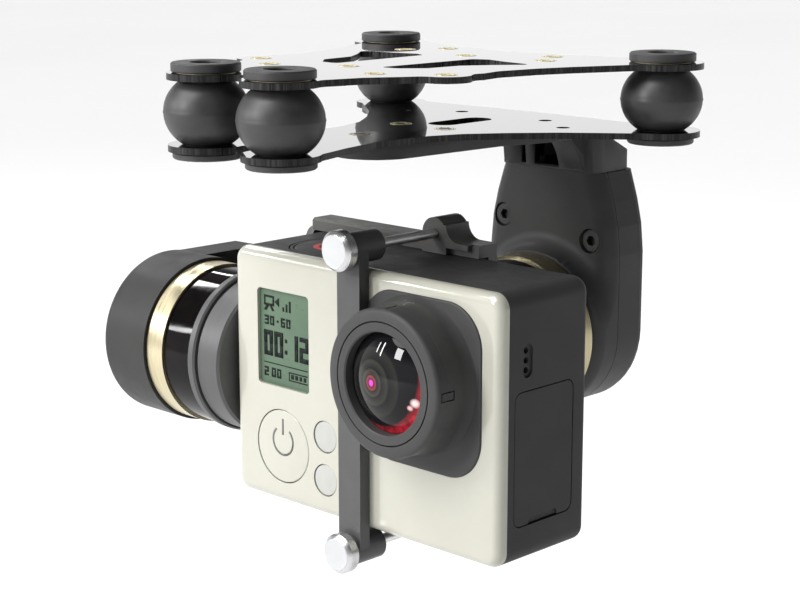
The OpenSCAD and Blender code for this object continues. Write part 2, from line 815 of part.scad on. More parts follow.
// Thumb screw: a chamfered round head on a long steel rod
module thumb_screw(z) {
  head = 2.2;
  color(steel) translate([bar_x, sleeve_y0 - 0.05, z]) rotate([90, 0, 0]) rotate_extrude()
    polygon([[0, -21], [rod_d / 2, -21], [rod_d / 2, 0], [knob_d / 2 - 0.3, 0], [knob_d / 2, 0.3],
      [knob_d / 2, head - 0.5], [knob_d / 2 - 0.5, head], [0, head]]);
}

module top_thumb_screw() { thumb_screw(axis_z + screw_rise); }
module bottom_thumb_screw() { thumb_screw(axis_z - screw_rise); }

// ---------- camera ----------

body_y0 = cam_y + face_t;
corner_r = 2.4;
lcd_x0 = cam_x + 5.5;
lcd_x1 = cam_x + 17.5;
lcd_z0 = cam_z + 18.8;
lcd_z1 = cam_z + 34.5;
power_x = cam_x + 11.2;
power_z = cam_z + 9.3;
power_r = 5.9;
lights = [[cam_x + 20.9, cam_z + 12.8], [cam_x + 20.9, cam_z + 5.8]];
light_r = 2.5;
bezel_x0 = bar_x + bar_w / 2 + 0.2;
bezel_x1 = cam_x + 53.3;
bezel_z0 = cam_z + 12.2;
bezel_z1 = cam_z + 37.5;
shutter_x = cam_x + 13.8;
shutter_y = cam_y + 9.8;
shutter_r = 6.8;
button_gap = 0.15;
door_y0 = cam_y + 3;
door_y1 = cam_y + 16.4;
door_z0 = cam_z + 5.5;
door_z1 = cam_z + 26;

// Hollow case behind the front plate
module camera_body() {
  w = 1.5;
  x1 = cam_x + cam_w;
  z1 = cam_z + cam_h;
  color("#383838") difference() {
    rounded_xz([cam_x, body_y0, cam_z], [x1, cam_back, z1], corner_r);
    rounded_xz([cam_x + w, body_y0 - 1, cam_z + w], [x1 - w, cam_back - w, z1 - w], 1);
    translate([shutter_x, shutter_y, z1 - 3]) cylinder(r = shutter_r + button_gap, h = 5);
    // seat of the side door
    box([x1 - 1, door_y0, door_z0], [x1 + 1, door_y1, door_z1]);
    box([x1 - 3, door_y0 + 1.5, door_z0 + 1.5], [x1 + 1, door_y1 - 1.5, door_z1 - 1.5]);
    // three sound holes in a pill-shaped recess
    hull() for (z = [28.9, 31.6]) rod_x(1, x1 - 0.5, x1 + 1, cam_y + 5.7, cam_z + z, $fn = hull_fn);
    for (z = [28.8, 30.25, 31.7]) rod_x(0.5, x1 - 3, x1 + 1, cam_y + 5.7, cam_z + z);
  }
}

// Pale front plate with its windows
module camera_front_plate() {
  edge = 1.2;
  x1 = cam_x + cam_w;
  z1 = cam_z + cam_h;
  color(ivory) difference() {
    union() {
      rounded_xz([cam_x, cam_y + edge, cam_z], [x1, body_y0, z1], corner_r);
      hull() for (a = [0:30:90])
        face_slice(cam_y + edge * (1 - sin(a)), edge * (1 - cos(a)));
    }
    box([lcd_x0, cam_y - 1, lcd_z0], [lcd_x1, body_y0 + 1, lcd_z1]);
    rod_y(power_r + button_gap, cam_y - 1, body_y0 + 1, power_x, power_z);
    for (p = lights) rod_y(light_r + fit, cam_y - 1, body_y0 + 1, p[0], p[1]);
    rounded_xz([bezel_x0 - fit, cam_y - 1, bezel_z0 - fit], [bezel_x1 + fit, body_y0 + 1, bezel_z1 + fit],
      bezel_r);
  }
}

// Thin slice of the front plate's rounded edge
module face_slice(y, inset) {
  rounded_xz([cam_x + inset, y - 0.01, cam_z + inset],
    [cam_x + cam_w - inset, y, cam_z + cam_h - inset], corner_r - inset, $fn = hull_fn);
}

bezel_y = cam_y - 0.3;
bezel_r = 6.5;
barrel_flare = 0.9;
lens_front = cam_y - 7.4;
glass_r = 7.5;

// Square black surround and the barrel in front of it, cut back beside the clamp bar
module camera_lens_bezel() {
  color("#262626") difference() {
    union() {
      rounded_xz([bezel_x0, bezel_y, bezel_z0], [bezel_x1, body_y0, bezel_z1], bezel_r);
      translate([lens_x, 0, lens_z]) rotate([-90, 0, 0]) rotate_extrude()
        polygon([[9.4, lens_front + 2.6], [lens_r, lens_front + 2.6], [lens_r + 0.15, bezel_y - 1.6],
          [lens_r + barrel_flare, bezel_y + 0.1], [9.4, bezel_y + 0.1]]);
    }
    rod_y(9.4, lens_front - 1, body_y0 + 1, lens_x, lens_z);
    box([bezel_x0 - 5, bar_y0 - 0.3, cam_z], [bezel_x0, cam_y, cam_z + cam_h]);
  }
}

// Round rim at the front of the lens, with a groove in its flat face
module camera_lens_ring() {
  color("#1e1e1e") translate([lens_x, 0, lens_z]) rotate([-90, 0, 0]) rotate_extrude()
    polygon([[glass_r + 0.02, lens_front + 0.3], [glass_r + 0.3, lens_front], [9, lens_front],
      [9, lens_front + 0.5], [9.25, lens_front + 0.5], [9.25, lens_front], [lens_r - 0.4, lens_front],
      [lens_r, lens_front + 0.4], [lens_r, lens_front + 2.58], [9.38, lens_front + 2.58],
      [9.38, body_y0 - 1], [8, body_y0 - 1], [8, lens_front + 1.5], [glass_r + 0.02, lens_front + 1.5]]);
}

// Domed front glass
module camera_front_glass() {
  glass_y = lens_front + 0.1;
  dome_r = 17;
  color("#20242c", 0.6) translate([lens_x, 0, lens_z]) rotate([-90, 0, 0]) intersection() {
    translate([0, 0, glass_y]) cylinder(r = glass_r, h = 3.2);
    translate([0, 0, glass_y + dome_r]) sphere(r = dome_r, $fn = 96);
  }
}

// Stack of lens elements in a stepped barrel
module camera_lens_cell() {
  back = cam_back - 4.2;
  color("#101012") translate([lens_x, 0, lens_z]) rotate([-90, 0, 0]) rotate_extrude()
    polygon([[0, body_y0 - 4], [7.9, body_y0 - 4], [7.9, body_y0 + 1], [6.2, body_y0 + 1],
      [6.2, body_y0 + 5], [4.6, body_y0 + 5], [4.6, back], [0, back]]);
}

// Image sensor and main board
module camera_sensor_board() {
  color("#1f5a3a") box([cam_x + 27, cam_back - 4.1, cam_z + 4], [cam_x + 54, cam_back - 3.1, cam_z + 37]);
  color("#202020") box([cam_x + 29, cam_back - 3.1, cam_z + 7], [cam_x + 38, cam_back - 2, cam_z + 16]);
}

module camera_battery() {
  color("#2a3c66") box([cam_x + 2.2, cam_back - 12.5, cam_z + 2.2], [cam_x + 26, cam_back - 2.2, cam_z + 35]);
}

// Metal frame around the lens that carries the board
module camera_chassis() {
  color("#9a9aa0") difference() {
    union() {
      box([cam_x + 27, cam_back - 10, cam_z + 2.5], [cam_x + 54.8, cam_back - 8.4, cam_z + 38]);
      for (z = [6, 34.5]) rod_y(1.4, cam_back - 9, cam_back - 4.1, cam_x + 52, cam_z + z);
    }
    rod_y(5.2, cam_back - 12, cam_back, lens_x, lens_z);
  }
}

// Display set back behind the front plate
module camera_lcd() {
  color("#8fae97") box([lcd_x0 + 0.1, cam_y + 0.55, lcd_z0 + 0.1], [lcd_x1 - 0.1, body_y0 + 0.8, lcd_z1 - 0.1]);
}

module camera_indicators() {
  color("#b9bbb4") for (p = lights) rod_y(light_r, cam_y + 0.15, body_y0 + 1, p[0], p[1]);
}

// Snap-in cover of the card and plug bay
module camera_side_door() {
  x1 = cam_x + cam_w;
  color("#383838") difference() {
    box([x1 - 0.98, door_y0 + 0.12, door_z0 + 0.12], [x1, door_y1 - 0.12, door_z1 - 0.12]);
    hull() for (y = [door_y0 + 4, door_y1 - 4]) translate([x1 + 0.5, y, door_z0 + 0.4]) sphere(r = 0.9, $fn = 24);
  }
}

module shutter_button() {
  z1 = cam_z + cam_h;
  color("#383838") translate([shutter_x, shutter_y, z1 - 1.4]) {
    cylinder(r = shutter_r, h = 1.5);
    translate([0, 0, -0.6]) cylinder(r = 1.5, h = 1);
  }
}

module power_button() {
  color(ivory) {
    rod_y(power_r, cam_y - 0.05, cam_y + 1.3, power_x, power_z);
    rod_y(1.5, cam_y + 1, cam_y + 2.1, power_x, power_z);
  }
}

upper_plate();
isolator_front_left();
isolator_front_right();
isolator_rear_left();
isolator_rear_right();
lower_plate();
roll_bracket();
bracket_screws();
roll_front_cover();
roll_rear_shell();
roll_cover_screws();
controller_board();
roll_stator_mount();
roll_stator_core();
roll_windings();
roll_bearings();
roll_bell();
roll_gold_ring();
roll_magnets();
roll_shaft();
roll_shaft_clip();
roll_output_disc();
roll_arm();
roll_arm_screws();
pitch_motor_cap();
pitch_cap_screws();
pitch_stator_mount();
pitch_stator_core();
pitch_windings();
pitch_bearings();
pitch_bell();
pitch_gold_ring();
pitch_magnets();
pitch_shaft();
pitch_shaft_clip();
pitch_output_hub();
hub_screws();
cradle();
cradle_screws();
imu_sensor();
clamp_bar();
top_thumb_screw();
bottom_thumb_screw();
camera_body();
camera_front_plate();
camera_lens_bezel();
camera_lens_ring();
camera_front_glass();
camera_lens_cell();
camera_sensor_board();
camera_battery();
camera_chassis();
camera_lcd();
camera_indicators();
camera_side_door();
shutter_button();
power_button();
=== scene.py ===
"""Looks of the two-axis camera gimbal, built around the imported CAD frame.

Sizes are in millimetres and are scaled by MM when a mesh is made.
Places come from the CAD nodes' boxes.
"""

import json
import math

import bmesh
import bpy
import numpy as np
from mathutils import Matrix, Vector


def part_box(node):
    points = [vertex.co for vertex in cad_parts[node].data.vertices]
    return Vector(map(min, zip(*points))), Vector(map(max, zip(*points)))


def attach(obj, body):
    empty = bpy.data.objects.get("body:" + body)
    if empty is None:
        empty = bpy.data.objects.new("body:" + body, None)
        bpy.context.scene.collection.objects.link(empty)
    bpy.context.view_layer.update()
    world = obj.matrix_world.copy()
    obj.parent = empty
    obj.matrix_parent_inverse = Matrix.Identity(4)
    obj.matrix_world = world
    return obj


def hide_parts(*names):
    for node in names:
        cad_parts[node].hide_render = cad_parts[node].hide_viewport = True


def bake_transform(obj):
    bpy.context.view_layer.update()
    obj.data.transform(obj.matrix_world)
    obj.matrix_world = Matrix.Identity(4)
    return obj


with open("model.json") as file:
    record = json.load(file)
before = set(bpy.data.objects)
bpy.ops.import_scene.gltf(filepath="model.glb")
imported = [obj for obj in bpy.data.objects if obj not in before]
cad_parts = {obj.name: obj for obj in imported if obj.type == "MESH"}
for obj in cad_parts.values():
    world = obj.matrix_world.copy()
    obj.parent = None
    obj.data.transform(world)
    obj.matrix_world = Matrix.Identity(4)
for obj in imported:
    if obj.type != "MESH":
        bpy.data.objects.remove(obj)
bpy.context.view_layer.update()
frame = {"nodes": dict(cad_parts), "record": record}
nodes = frame["nodes"]

MM = 0.001
TURN = 2 * math.pi


# ---------- places read from the frame ----------

def low_high(node):
    """A CAD node's lowest and highest corners in millimetres."""
    low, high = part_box(node)
    return np.array(low) / MM, np.array(high) / MM


def middle(node):
    """The centre of a CAD node's box."""
    low, high = low_high(node)
    return (low + high) / 2


def radius(node):
    """Half of a round CAD node's width."""
    low, high = low_high(node)
    return (high[0] - low[0]) / 2


PLATE_LOW, PLATE_HIGH = low_high("camera_front_plate")
BODY_LOW, BODY_HIGH = low_high("camera_body")
LENS = middle("camera_lens_ring")
LENS_FRONT = low_high("camera_lens_ring")[0][1]
LENS_R = radius("camera_lens_ring")
BEZEL_LOW, BEZEL_HIGH = low_high("camera_lens_bezel")
BEZEL_Y = PLATE_LOW[1] - 0.3
DOOR_LOW, DOOR_HIGH = low_high("camera_side_door")
LCD_LOW, LCD_HIGH = low_high("camera_lcd")
POWER = middle("power_button")
POWER_R = radius("power_button")
SHUTTER = middle("shutter_button")
SHUTTER_R = radius("shutter_button")
LIGHTS_LOW, LIGHTS_HIGH = low_high("camera_indicators")
LIGHT_R = radius("camera_indicators")
LIGHT_X = LIGHTS_LOW[0] + LIGHT_R
LIGHT_ZS = (LIGHTS_LOW[2] + LIGHT_R, LIGHTS_HIGH[2] - LIGHT_R)
ROLL_Z = middle("roll_gold_ring")[2]
COVER_LOW, COVER_HIGH = low_high("roll_front_cover")
UPPER_LOW, UPPER_HIGH = low_high("upper_plate")
LOWER_LOW, LOWER_HIGH = low_high("lower_plate")
MOUNTS = {mount["name"]: mount for mount in frame["record"]["mounts"]}
# The three screws that hold the bracket's nose to the lower plate.
BRACKET_SCREWS = ((0, -12), (-4.9, 2.1), (4.9, 2.1))
CORNERS = ("front_left", "front_right", "rear_left", "rear_right")


# ---------- mesh helpers ----------

def added(name, data):
    """A new object of some data, in the scene."""
    obj = bpy.data.objects.new(name, data)
    bpy.context.scene.collection.objects.link(obj)
    return obj


def aim(obj, way):
    """Turns a light or a camera to look along a direction."""
    obj.rotation_euler = Vector(way).to_track_quat("-Z", "Y").to_euler()


def dress(obj, *materials):
    """Gives a piece these materials and no others."""
    obj.data.materials.clear()
    for material in materials:
        obj.data.materials.append(material)


def add_mesh(name, verts, faces, sharp=35):
    """A new object from points in millimetres, shaded smooth up to an angle."""
    mesh = bpy.data.meshes.new(name)
    mesh.from_pydata([(x * MM, y * MM, z * MM) for x, y, z in verts], [], faces)
    mesh.validate()
    bm = bmesh.new()
    bm.from_mesh(mesh)
    bmesh.ops.recalc_face_normals(bm, faces=bm.faces)
    bm.to_mesh(mesh)
    bm.free()
    obj = added(name, mesh)
    shade(obj, sharp)
    return obj


def shade(obj, sharp=35):
    """Smooth shading, except across edges sharper than an angle."""
    obj.data.shade_smooth()
    obj.data.set_sharp_from_angle(angle=math.radians(sharp))


def finish_piece(obj, material, body, replaced=()):
    """Gives a piece its material, its body and the CAD nodes that it stands for."""
    dress(obj, material)
    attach(obj, body)
    if replaced:
        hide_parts(*replaced)


def arc(cx, cy, r, start, end, steps):
    """Points on an arc, angles in degrees."""
    angles = [math.radians(start + (end - start) * i / steps) for i in range(steps + 1)]
    return [(cx + r * math.cos(a), cy + r * math.sin(a)) for a in angles]


def round_rect(x0, y0, x1, y1, r, steps=8):
    """A rectangle with round corners, anticlockwise."""
    return (arc(x1 - r, y1 - r, r, 0, 90, steps) + arc(x0 + r, y1 - r, r, 90, 180, steps)
            + arc(x0 + r, y0 + r, r, 180, 270, steps) + arc(x1 - r, y0 + r, r, 270, 360, steps))


def eased(points, r, steps=4):
    """A profile with each corner between its ends rounded to r where there is room."""
    out = [points[0]]
    for before, corner, after in zip(points, points[1:], points[2:]):
        b, c, a = (np.array(p, float) for p in (before, corner, after))
        u, v = b - c, a - c
        lu, lv = np.linalg.norm(u), np.linalg.norm(v)
        cut = min(r, lu * 0.45, lv * 0.45)
        p, q = c + u / lu * cut, c + v / lv * cut
        for i in range(steps + 1):
            t = i / steps
            out.append(tuple((1 - t) ** 2 * p + 2 * t * (1 - t) * c + t ** 2 * q))
    out.append(points[-1])
    return out


def place(axis, centre, r, h, angle):
    """A point of a turned shape: radius r, height h along the axis."""
    a, b = r * math.cos(angle), r * math.sin(angle)
    cx, cy, cz = centre
    if axis == "X":
        return (cx + h, cy + a, cz + b)
    if axis == "Y":
        return (cx + a, cy + h, cz + b)
    return (cx + a, cy + b, cz + h)


def lathe(name, profile, axis, centre, segments=96, sharp=35, closed=False):
    """A turned shape from (radius, height) points; a closed profile makes a ring."""
    verts, faces, rings = [], [], []
    for r, h in profile:
        if r < 1e-6:
            verts.append(place(axis, centre, 0, h, 0))
            rings.append([len(verts) - 1] * segments)
        else:
            first = len(verts)
            verts += [place(axis, centre, r, h, TURN * i / segments) for i in range(segments)]
            rings.append(list(range(first, first + segments)))
    pairs = list(zip(rings, rings[1:])) + ([(rings[-1], rings[0])] if closed else [])
    for a, b in pairs:
        for i in range(segments):
            j = (i + 1) % segments
            face = list(dict.fromkeys((a[i], a[j], b[j], b[i])))
            if len(face) > 2:
                faces.append(face)
    return add_mesh(name, verts, faces, sharp)


def loft(name, rings, sharp=35):
    """A closed shape through rings of points, with flat caps."""
    n = len(rings[0])
    verts = [p for ring in rings for p in ring]
    faces = [list(range(n)), list(range(len(verts) - n, len(verts)))]
    for k in range(len(rings) - 1):
        for i in range(n):
            j = (i + 1) % n
            faces.append([k * n + i, k * n + j, (k + 1) * n + j, (k + 1) * n + i])
    return add_mesh(name, verts, faces, sharp)


def unit(vectors):
    """Rows scaled to length one."""
    return vectors / np.maximum(np.linalg.norm(vectors, axis=1), 1e-9)[:, None]


def inset(outline, d):
    """An anticlockwise outline moved inwards by d along its vertex normals."""
    pts = np.array(outline, float)
    tangent = unit(unit(np.roll(pts, -1, 0) - pts) + unit(pts - np.roll(pts, 1, 0)))
    normal = np.stack([tangent[:, 1], -tangent[:, 0]], 1)
    return pts - normal * d


def slab(name, outline, y0, y1, front_r=0.0, back_r=0.0, steps=6):
    """An XZ outline extruded along Y, with rounded front and back edges."""
    levels = [(y0, 0)]
    if front_r:
        levels = [(y0 + front_r * (1 - math.cos(a)), front_r * (1 - math.sin(a)))
                  for a in np.linspace(0, math.pi / 2, steps + 1)]
    if back_r:
        levels += [(y1 - back_r * (1 - math.cos(a)), back_r * (1 - math.sin(a)))
                   for a in np.linspace(math.pi / 2, 0, steps + 1)]
    else:
        levels += [(y1, 0)]
    return loft(name, [[(x, y, z) for x, z in inset(outline, d)] for y, d in levels])


def extrude(name, axis, outline, start, end, sharp=35):
    """A flat outline extruded straight along an axis."""
    at = "XYZ".index(axis)
    rings = [[(*point[:at], h, *point[at:]) for point in outline] for h in (start, end)]
    return loft(name, rings, sharp)


def rod(name, axis, centre, r, length, segments=48):
    """A solid cylinder that starts at its centre point and runs along an axis."""
    return lathe(name, [(0, 0), (r, 0), (r, length), (0, length)], axis, centre, segments)


def applied(obj):
    """Replaces a piece's mesh with its evaluated one and clears its modifiers."""
    depsgraph = bpy.context.evaluated_depsgraph_get()
    mesh = bpy.data.meshes.new_from_object(obj.evaluated_get(depsgraph))
    obj.modifiers.clear()
    old = obj.data
    obj.data = mesh
    bpy.data.meshes.remove(old)


def cut(obj, *tools, sharp=35):
    """Takes the tools' shapes out of a piece."""
    for tool in tools:
        mod = obj.modifiers.new("cut", "BOOLEAN")
        mod.operation = "DIFFERENCE"
        mod.solver = "EXACT"
        mod.object = tool
    applied(obj)
    for tool in tools:
        bpy.data.objects.remove(tool)
    shade(obj, sharp)


def bevel(obj, width, segments=2, angle=35):
    """Rounds the edges that are sharper than an angle."""
    mod = obj.modifiers.new("bevel", "BEVEL")
    mod.width = width * MM
    mod.segments = segments
    mod.limit_method = "ANGLE"
    mod.angle_limit = math.radians(angle)
    mod.harden_normals = True


def join(name, objs):
    """One piece out of several, with their materials kept apart by slot."""
    bm = bmesh.new()
    materials = []
    for o in objs:
        start = len(bm.faces)
        bm.from_mesh(o.data)
        bm.faces.ensure_lookup_table()
        for face in bm.faces[start:]:
            mat = o.data.materials[face.material_index] if o.data.materials else None
            if mat not in materials:
                materials.append(mat)
            face.material_index = materials.index(mat)
    mesh = bpy.data.meshes.new(name)
    bm.to_mesh(mesh)
    bm.free()
    for mat in materials:
        mesh.materials.append(mat)
    for o in objs:
        bpy.data.objects.remove(o)
    return added(name, mesh)


# ---------- materials ----------

def grey(level):
    """A colour without a tint."""
    return (level, level, level)


def fill_ramp(node, stops):
    """Gives a colour ramp its (place, colour) stops."""
    elements = node.color_ramp.elements
    while len(elements) < len(stops):
        elements.new(0.5)
    for element, (at, colour) in zip(elements, stops):
        element.position = at
        element.color = (*colour, 1)


class Paint:
    """A Principled material whose nodes are added one call at a time."""

    def __init__(self, name, rough=0.5, metallic=0.0, ior=1.5, coat=0.0, coat_rough=0.05, specular=0.5,
                 aniso=0.0):
        self.mat = bpy.data.materials.new(name)
        self.mat.use_nodes = True
        self.tree = self.mat.node_tree
        self.shader = self.tree.nodes["Principled BSDF"]
        for socket, value in (("Roughness", rough), ("Metallic", metallic), ("IOR", ior),
                              ("Coat Weight", coat), ("Coat Roughness", coat_rough),
                              ("Specular IOR Level", specular), ("Anisotropic", aniso)):
            self.shader.inputs[socket].default_value = value
        self.coords = self.tree.nodes.new("ShaderNodeTexCoord").outputs["Object"]

    def node(self, kind, **settings):
        made = self.tree.nodes.new(kind)
        for key, value in settings.items():
            setattr(made, key, value)
        return made

    def link(self, a, b):
        self.tree.links.new(a, b)

    def noise(self, size_mm, detail=4.0, rough=0.6, stretch=(1, 1, 1)):
        """Noise whose blotches are about size_mm across."""
        n = self.node("ShaderNodeTexNoise")
        n.inputs["Scale"].default_value = 1 / (size_mm * MM)
        n.inputs["Detail"].default_value = detail
        n.inputs["Roughness"].default_value = rough
        mapping = self.node("ShaderNodeMapping")
        mapping.inputs["Scale"].default_value = stretch
        self.link(self.coords, mapping.inputs["Vector"])
        self.link(mapping.outputs["Vector"], n.inputs["Vector"])
        return n.outputs["Fac"]

    def ramp(self, value, stops):
        """A colour ramp from (place, colour) stops."""
        node = self.node("ShaderNodeValToRGB")
        fill_ramp(node, stops)
        self.link(value, node.inputs["Fac"])
        return node.outputs["Color"]

    def spread(self, value, low, high, start=0.3, end=0.7):
        """Maps a noise value to a number range."""
        m = self.node("ShaderNodeMapRange")
        for key, number in (("From Min", start), ("From Max", end), ("To Min", low), ("To Max", high)):
            m.inputs[key].default_value = number
        self.link(value, m.inputs["Value"])
        return m.outputs["Result"]

    def mix(self, a, b, factor):
        """Goes from colour a to colour b as the factor rises."""
        m = self.node("ShaderNodeMix", data_type="RGBA")
        self.link(factor, m.inputs["Factor"])
        for socket, value in ((m.inputs[6], a), (m.inputs[7], b)):
            if isinstance(value, tuple):
                socket.default_value = (*value, 1)
            else:
                self.link(value, socket)
        return m.outputs[2]

    def cloudy(self, noise, dark, light, start=0.3, end=0.7):
        """Base colour between two tones, from a noise value."""
        self.colour(self.ramp(noise, [(start, dark), (end, light)]))

    def colour(self, value):
        self.link(value, self.shader.inputs["Base Color"])

    def rough(self, value):
        self.link(value, self.shader.inputs["Roughness"])

    def bump(self, *layers):
        """Bump from (value, strength, depth in mm) layers, one on top of the other."""
        previous = None
        for value, strength, depth in layers:
            b = self.node("ShaderNodeBump")
            b.inputs["Strength"].default_value = strength
            b.inputs["Distance"].default_value = depth * MM
            self.link(value, b.inputs["Height"])
            if previous:
                self.link(previous, b.inputs["Normal"])
            previous = b.outputs["Normal"]
        self.link(previous, self.shader.inputs["Normal"])

    def painted_edge_highlights(self, base, edge_highlight_tone, width=0.35, amount=0.6):
        """Paints highlights along sharp edges: lightens a colour there, broken up by noise."""
        soft = self.node("ShaderNodeBevel")
        soft.samples = 4
        soft.inputs["Radius"].default_value = width * MM
        plain = self.node("ShaderNodeNewGeometry")
        dot = self.node("ShaderNodeVectorMath", operation="DOT_PRODUCT")
        self.link(soft.outputs["Normal"], dot.inputs[0])
        self.link(plain.outputs["Normal"], dot.inputs[1])
        edge = self.spread(dot.outputs["Value"], amount, 0, 0.86, 0.995)
        broken = self.node("ShaderNodeMath", operation="MULTIPLY")
        self.link(edge, broken.inputs[0])
        self.link(self.spread(self.noise(0.9), 0.15, 1.0), broken.inputs[1])
        return self.mix(base, edge_highlight_tone, broken.outputs[0])


def grained(name, dark, light, rough, grain=0.35, depth=0.02, edge_highlight_tone=None, **shader):
    """A dark satin moulding: cloudy colour, fine grain and, when an edge tone is given, painted highlights
    along its edges.
    """
    p = Paint(name, rough=rough, **shader)
    base = p.ramp(p.noise(7, 5), [(0.3, dark), (0.7, light)])
    p.colour(p.painted_edge_highlights(base, edge_highlight_tone) if edge_highlight_tone else base)
    p.rough(p.spread(p.noise(3.5, 5), rough - 0.06, rough + 0.09))
    p.bump((p.noise(grain, 3), 0.35, depth), (p.noise(2.5, 2), 0.1, 0.02))
    return p.mat


def turned(name, dark, light, rough, axis, metallic=1.0, **shader):
    """Metal with fine turning marks around an axis, made by noise that is stretched across it."""
    p = Paint(name, rough=rough, metallic=metallic, **shader)
    along = {"X": (40, 1, 1), "Y": (1, 40, 1), "Z": (1, 1, 40)}[axis]
    fine = p.noise(4.8, 3, 0.7, along)
    p.cloudy(fine, dark, light)
    p.rough(p.spread(p.noise(7.2, 4, 0.6, along), rough - 0.05, rough + 0.08))
    p.bump((fine, 0.12, 0.01))
    return p.mat


def clouded(name, dark, light, clouds, shine, *bumps, start=0.3, **shader):
    """A material whose tone, shine and bump each come from noise.

    clouds holds noise settings, shine holds (noise settings, low, high), and each bump holds
    (noise settings, strength, depth in mm).
    """
    p = Paint(name, **shader)
    p.cloudy(p.noise(*clouds), dark, light, start, 1 - start)
    p.rough(p.spread(p.noise(*shine[0]), *shine[1:]))
    if bumps:
        p.bump(*[(p.noise(*settings), strength, depth) for settings, strength, depth in bumps])
    return p.mat


def ink(name, colour, rough=0.5):
    """Flat colour, for print and for the black of painted shadow."""
    return clouded(name, tuple(c * 0.85 for c in colour), colour, (1.0, 3),
                   ((0.8, 3), rough - 0.08, rough + 0.08), rough=rough, specular=0.12)


def make_cut_edge():
    """Milled laminate edge with fine upright streaks."""
    p = Paint("laminate_edge", rough=0.35, specular=0.25)
    streaks = p.noise(0.45, 3, 0.7, (1, 1, 0.02))
    p.cloudy(streaks, grey(0.004), grey(0.045), 0.45, 0.68)
    p.rough(p.spread(streaks, 0.2, 0.5))
    p.bump((streaks, 0.3, 0.03))
    return p.mat


def make_glass_painted_reflections():
    """Coated front element over a dark barrel, its colour painted with reflections: a red one round its rim,
    a dark red arc along the top, a pink dot in a red ring and two pale glints; faint rings stand for the
    inner elements.
    """
    p = Paint("front_glass", rough=0.02, specular=0.2)

    def away_from(dx, dz, start, end):
        """Rises from 0 to 1 between two distances from a point beside the lens axis."""
        d = p.node("ShaderNodeVectorMath", operation="DISTANCE")
        flat = p.node("ShaderNodeVectorMath", operation="MULTIPLY")
        p.link(p.coords, flat.inputs[0])
        flat.inputs[1].default_value = (1, 0, 1)
        p.link(flat.outputs[0], d.inputs[0])
        d.inputs[1].default_value = ((LENS[0] + dx) * MM, 0, (LENS[2] + dz) * MM)
        return p.spread(d.outputs["Value"], 0, 1, start * MM, end * MM)

    black, brown = (0.005, 0.005, 0.006), (0.035, 0.03, 0.022)
    # Painted reflection at the ramp's centre: a pink dot in a red ring. Further out, faint rings for the
    # inner elements.
    rings = p.ramp(away_from(-1.6, 0.0, 0, 8), [
        (0.0, (0.95, 0.05, 0.62)), (0.045, (0.85, 0.03, 0.40)), (0.07, (0.02, 0.01, 0.012)),
        (0.13, (0.20, 0.02, 0.03)), (0.15, black), (0.24, brown), (0.27, black),
        (0.40, (0.022, 0.024, 0.018)), (0.44, black), (0.62, (0.016, 0.016, 0.014)),
        (0.66, black), (1.0, black)])
    # Painted red reflection round the rim, broken up by noise.
    patchy = p.spread(p.noise(1.3, 4), 0.35, 1.0, 0.35, 0.6)
    painted_red_reflection = p.node("ShaderNodeMath", operation="MULTIPLY")
    p.link(away_from(-1.5, 1.3, 7.7, 9.3), painted_red_reflection.inputs[0])
    p.link(patchy, painted_red_reflection.inputs[1])
    lit = p.mix(rings, (0.85, 0.03, 0.055), painted_red_reflection.outputs[0])
    # Painted reflection: a dark red arc along the top of the rim.
    top = p.mix(lit, (0.20, 0.012, 0.02), away_from(0.5, -3.0, 10.7, 11.8))
    # Painted highlights: two small pale pink glints low on the right.
    painted_glints = p.mix((1.0, 0.72, 0.72), top, away_from(5.9, -1.9, 0.25, 0.8))
    p.colour(p.mix((0.9, 0.5, 0.5), painted_glints, away_from(5.1, -2.7, 0.15, 0.5)))
    p.rough(p.spread(p.noise(3, 3), 0.01, 0.03))
    return p.mat


def make_copper():
    """Wound enamelled wire."""
    p = Paint("copper_wire", rough=0.3, metallic=0.9)
    strands = p.noise(0.4, 2, 0.5)
    p.cloudy(strands, (0.42, 0.16, 0.06), (0.66, 0.30, 0.12), 0.35, 0.65)
    p.bump((strands, 0.5, 0.05))
    return p.mat


# The edge tones given to these mouldings are painted highlights along their edges.
HOUSING = grained("housing_satin", grey(0.045), (0.055, 0.055, 0.054), 0.45, edge_highlight_tone=grey(0.075), specular=0.18)
ARM_GREY = grained("arm_satin", grey(0.029), (0.035, 0.035, 0.034), 0.45, grain=0.25, edge_highlight_tone=grey(0.07),
                   specular=0.2)
LAMINATE = clouded("black_laminate", (0.006, 0.006, 0.007), (0.016, 0.015, 0.015), (5, 4),
                   ((9, 5), 0.02, 0.06), ((1.6, 2), 0.02, 0.01), rough=0.03, ior=2.2, coat=1.0,
                   coat_rough=0.02)
CUT_EDGE = make_cut_edge()
RUBBER = clouded("isolator_rubber", (0.024, 0.024, 0.025), (0.036, 0.036, 0.038), (4, 6, 0.7),
                 ((2, 5), 0.38, 0.52), ((0.22, 3), 0.3, 0.02), ((1.6, 3), 0.12, 0.03), rough=0.42,
                 specular=0.45)
IVORY = clouded("ivory_gloss", (0.395, 0.39, 0.33), (0.42, 0.415, 0.36), (14, 4), ((6, 5), 0.12, 0.22),
                ((0.8, 3), 0.03, 0.01), rough=0.16, coat=0.6, coat_rough=0.06, specular=0.5)
CAMERA_GREY = grained("camera_grey", grey(0.037), (0.043, 0.043, 0.042), 0.5, grain=0.22, depth=0.015,
                      edge_highlight_tone=grey(0.055), specular=0.15)
LENS_BLACK = grained("lens_satin", grey(0.043), grey(0.051), 0.42, grain=0.2, depth=0.01, edge_highlight_tone=grey(0.075),
                     specular=0.18)
SCREEN = clouded("lcd_glass", (0.076, 0.120, 0.080), (0.093, 0.142, 0.096), (7, 3), ((2, 4), 0.26, 0.36),
                 rough=0.3, specular=0.2)
GLASS = make_glass_painted_reflections()
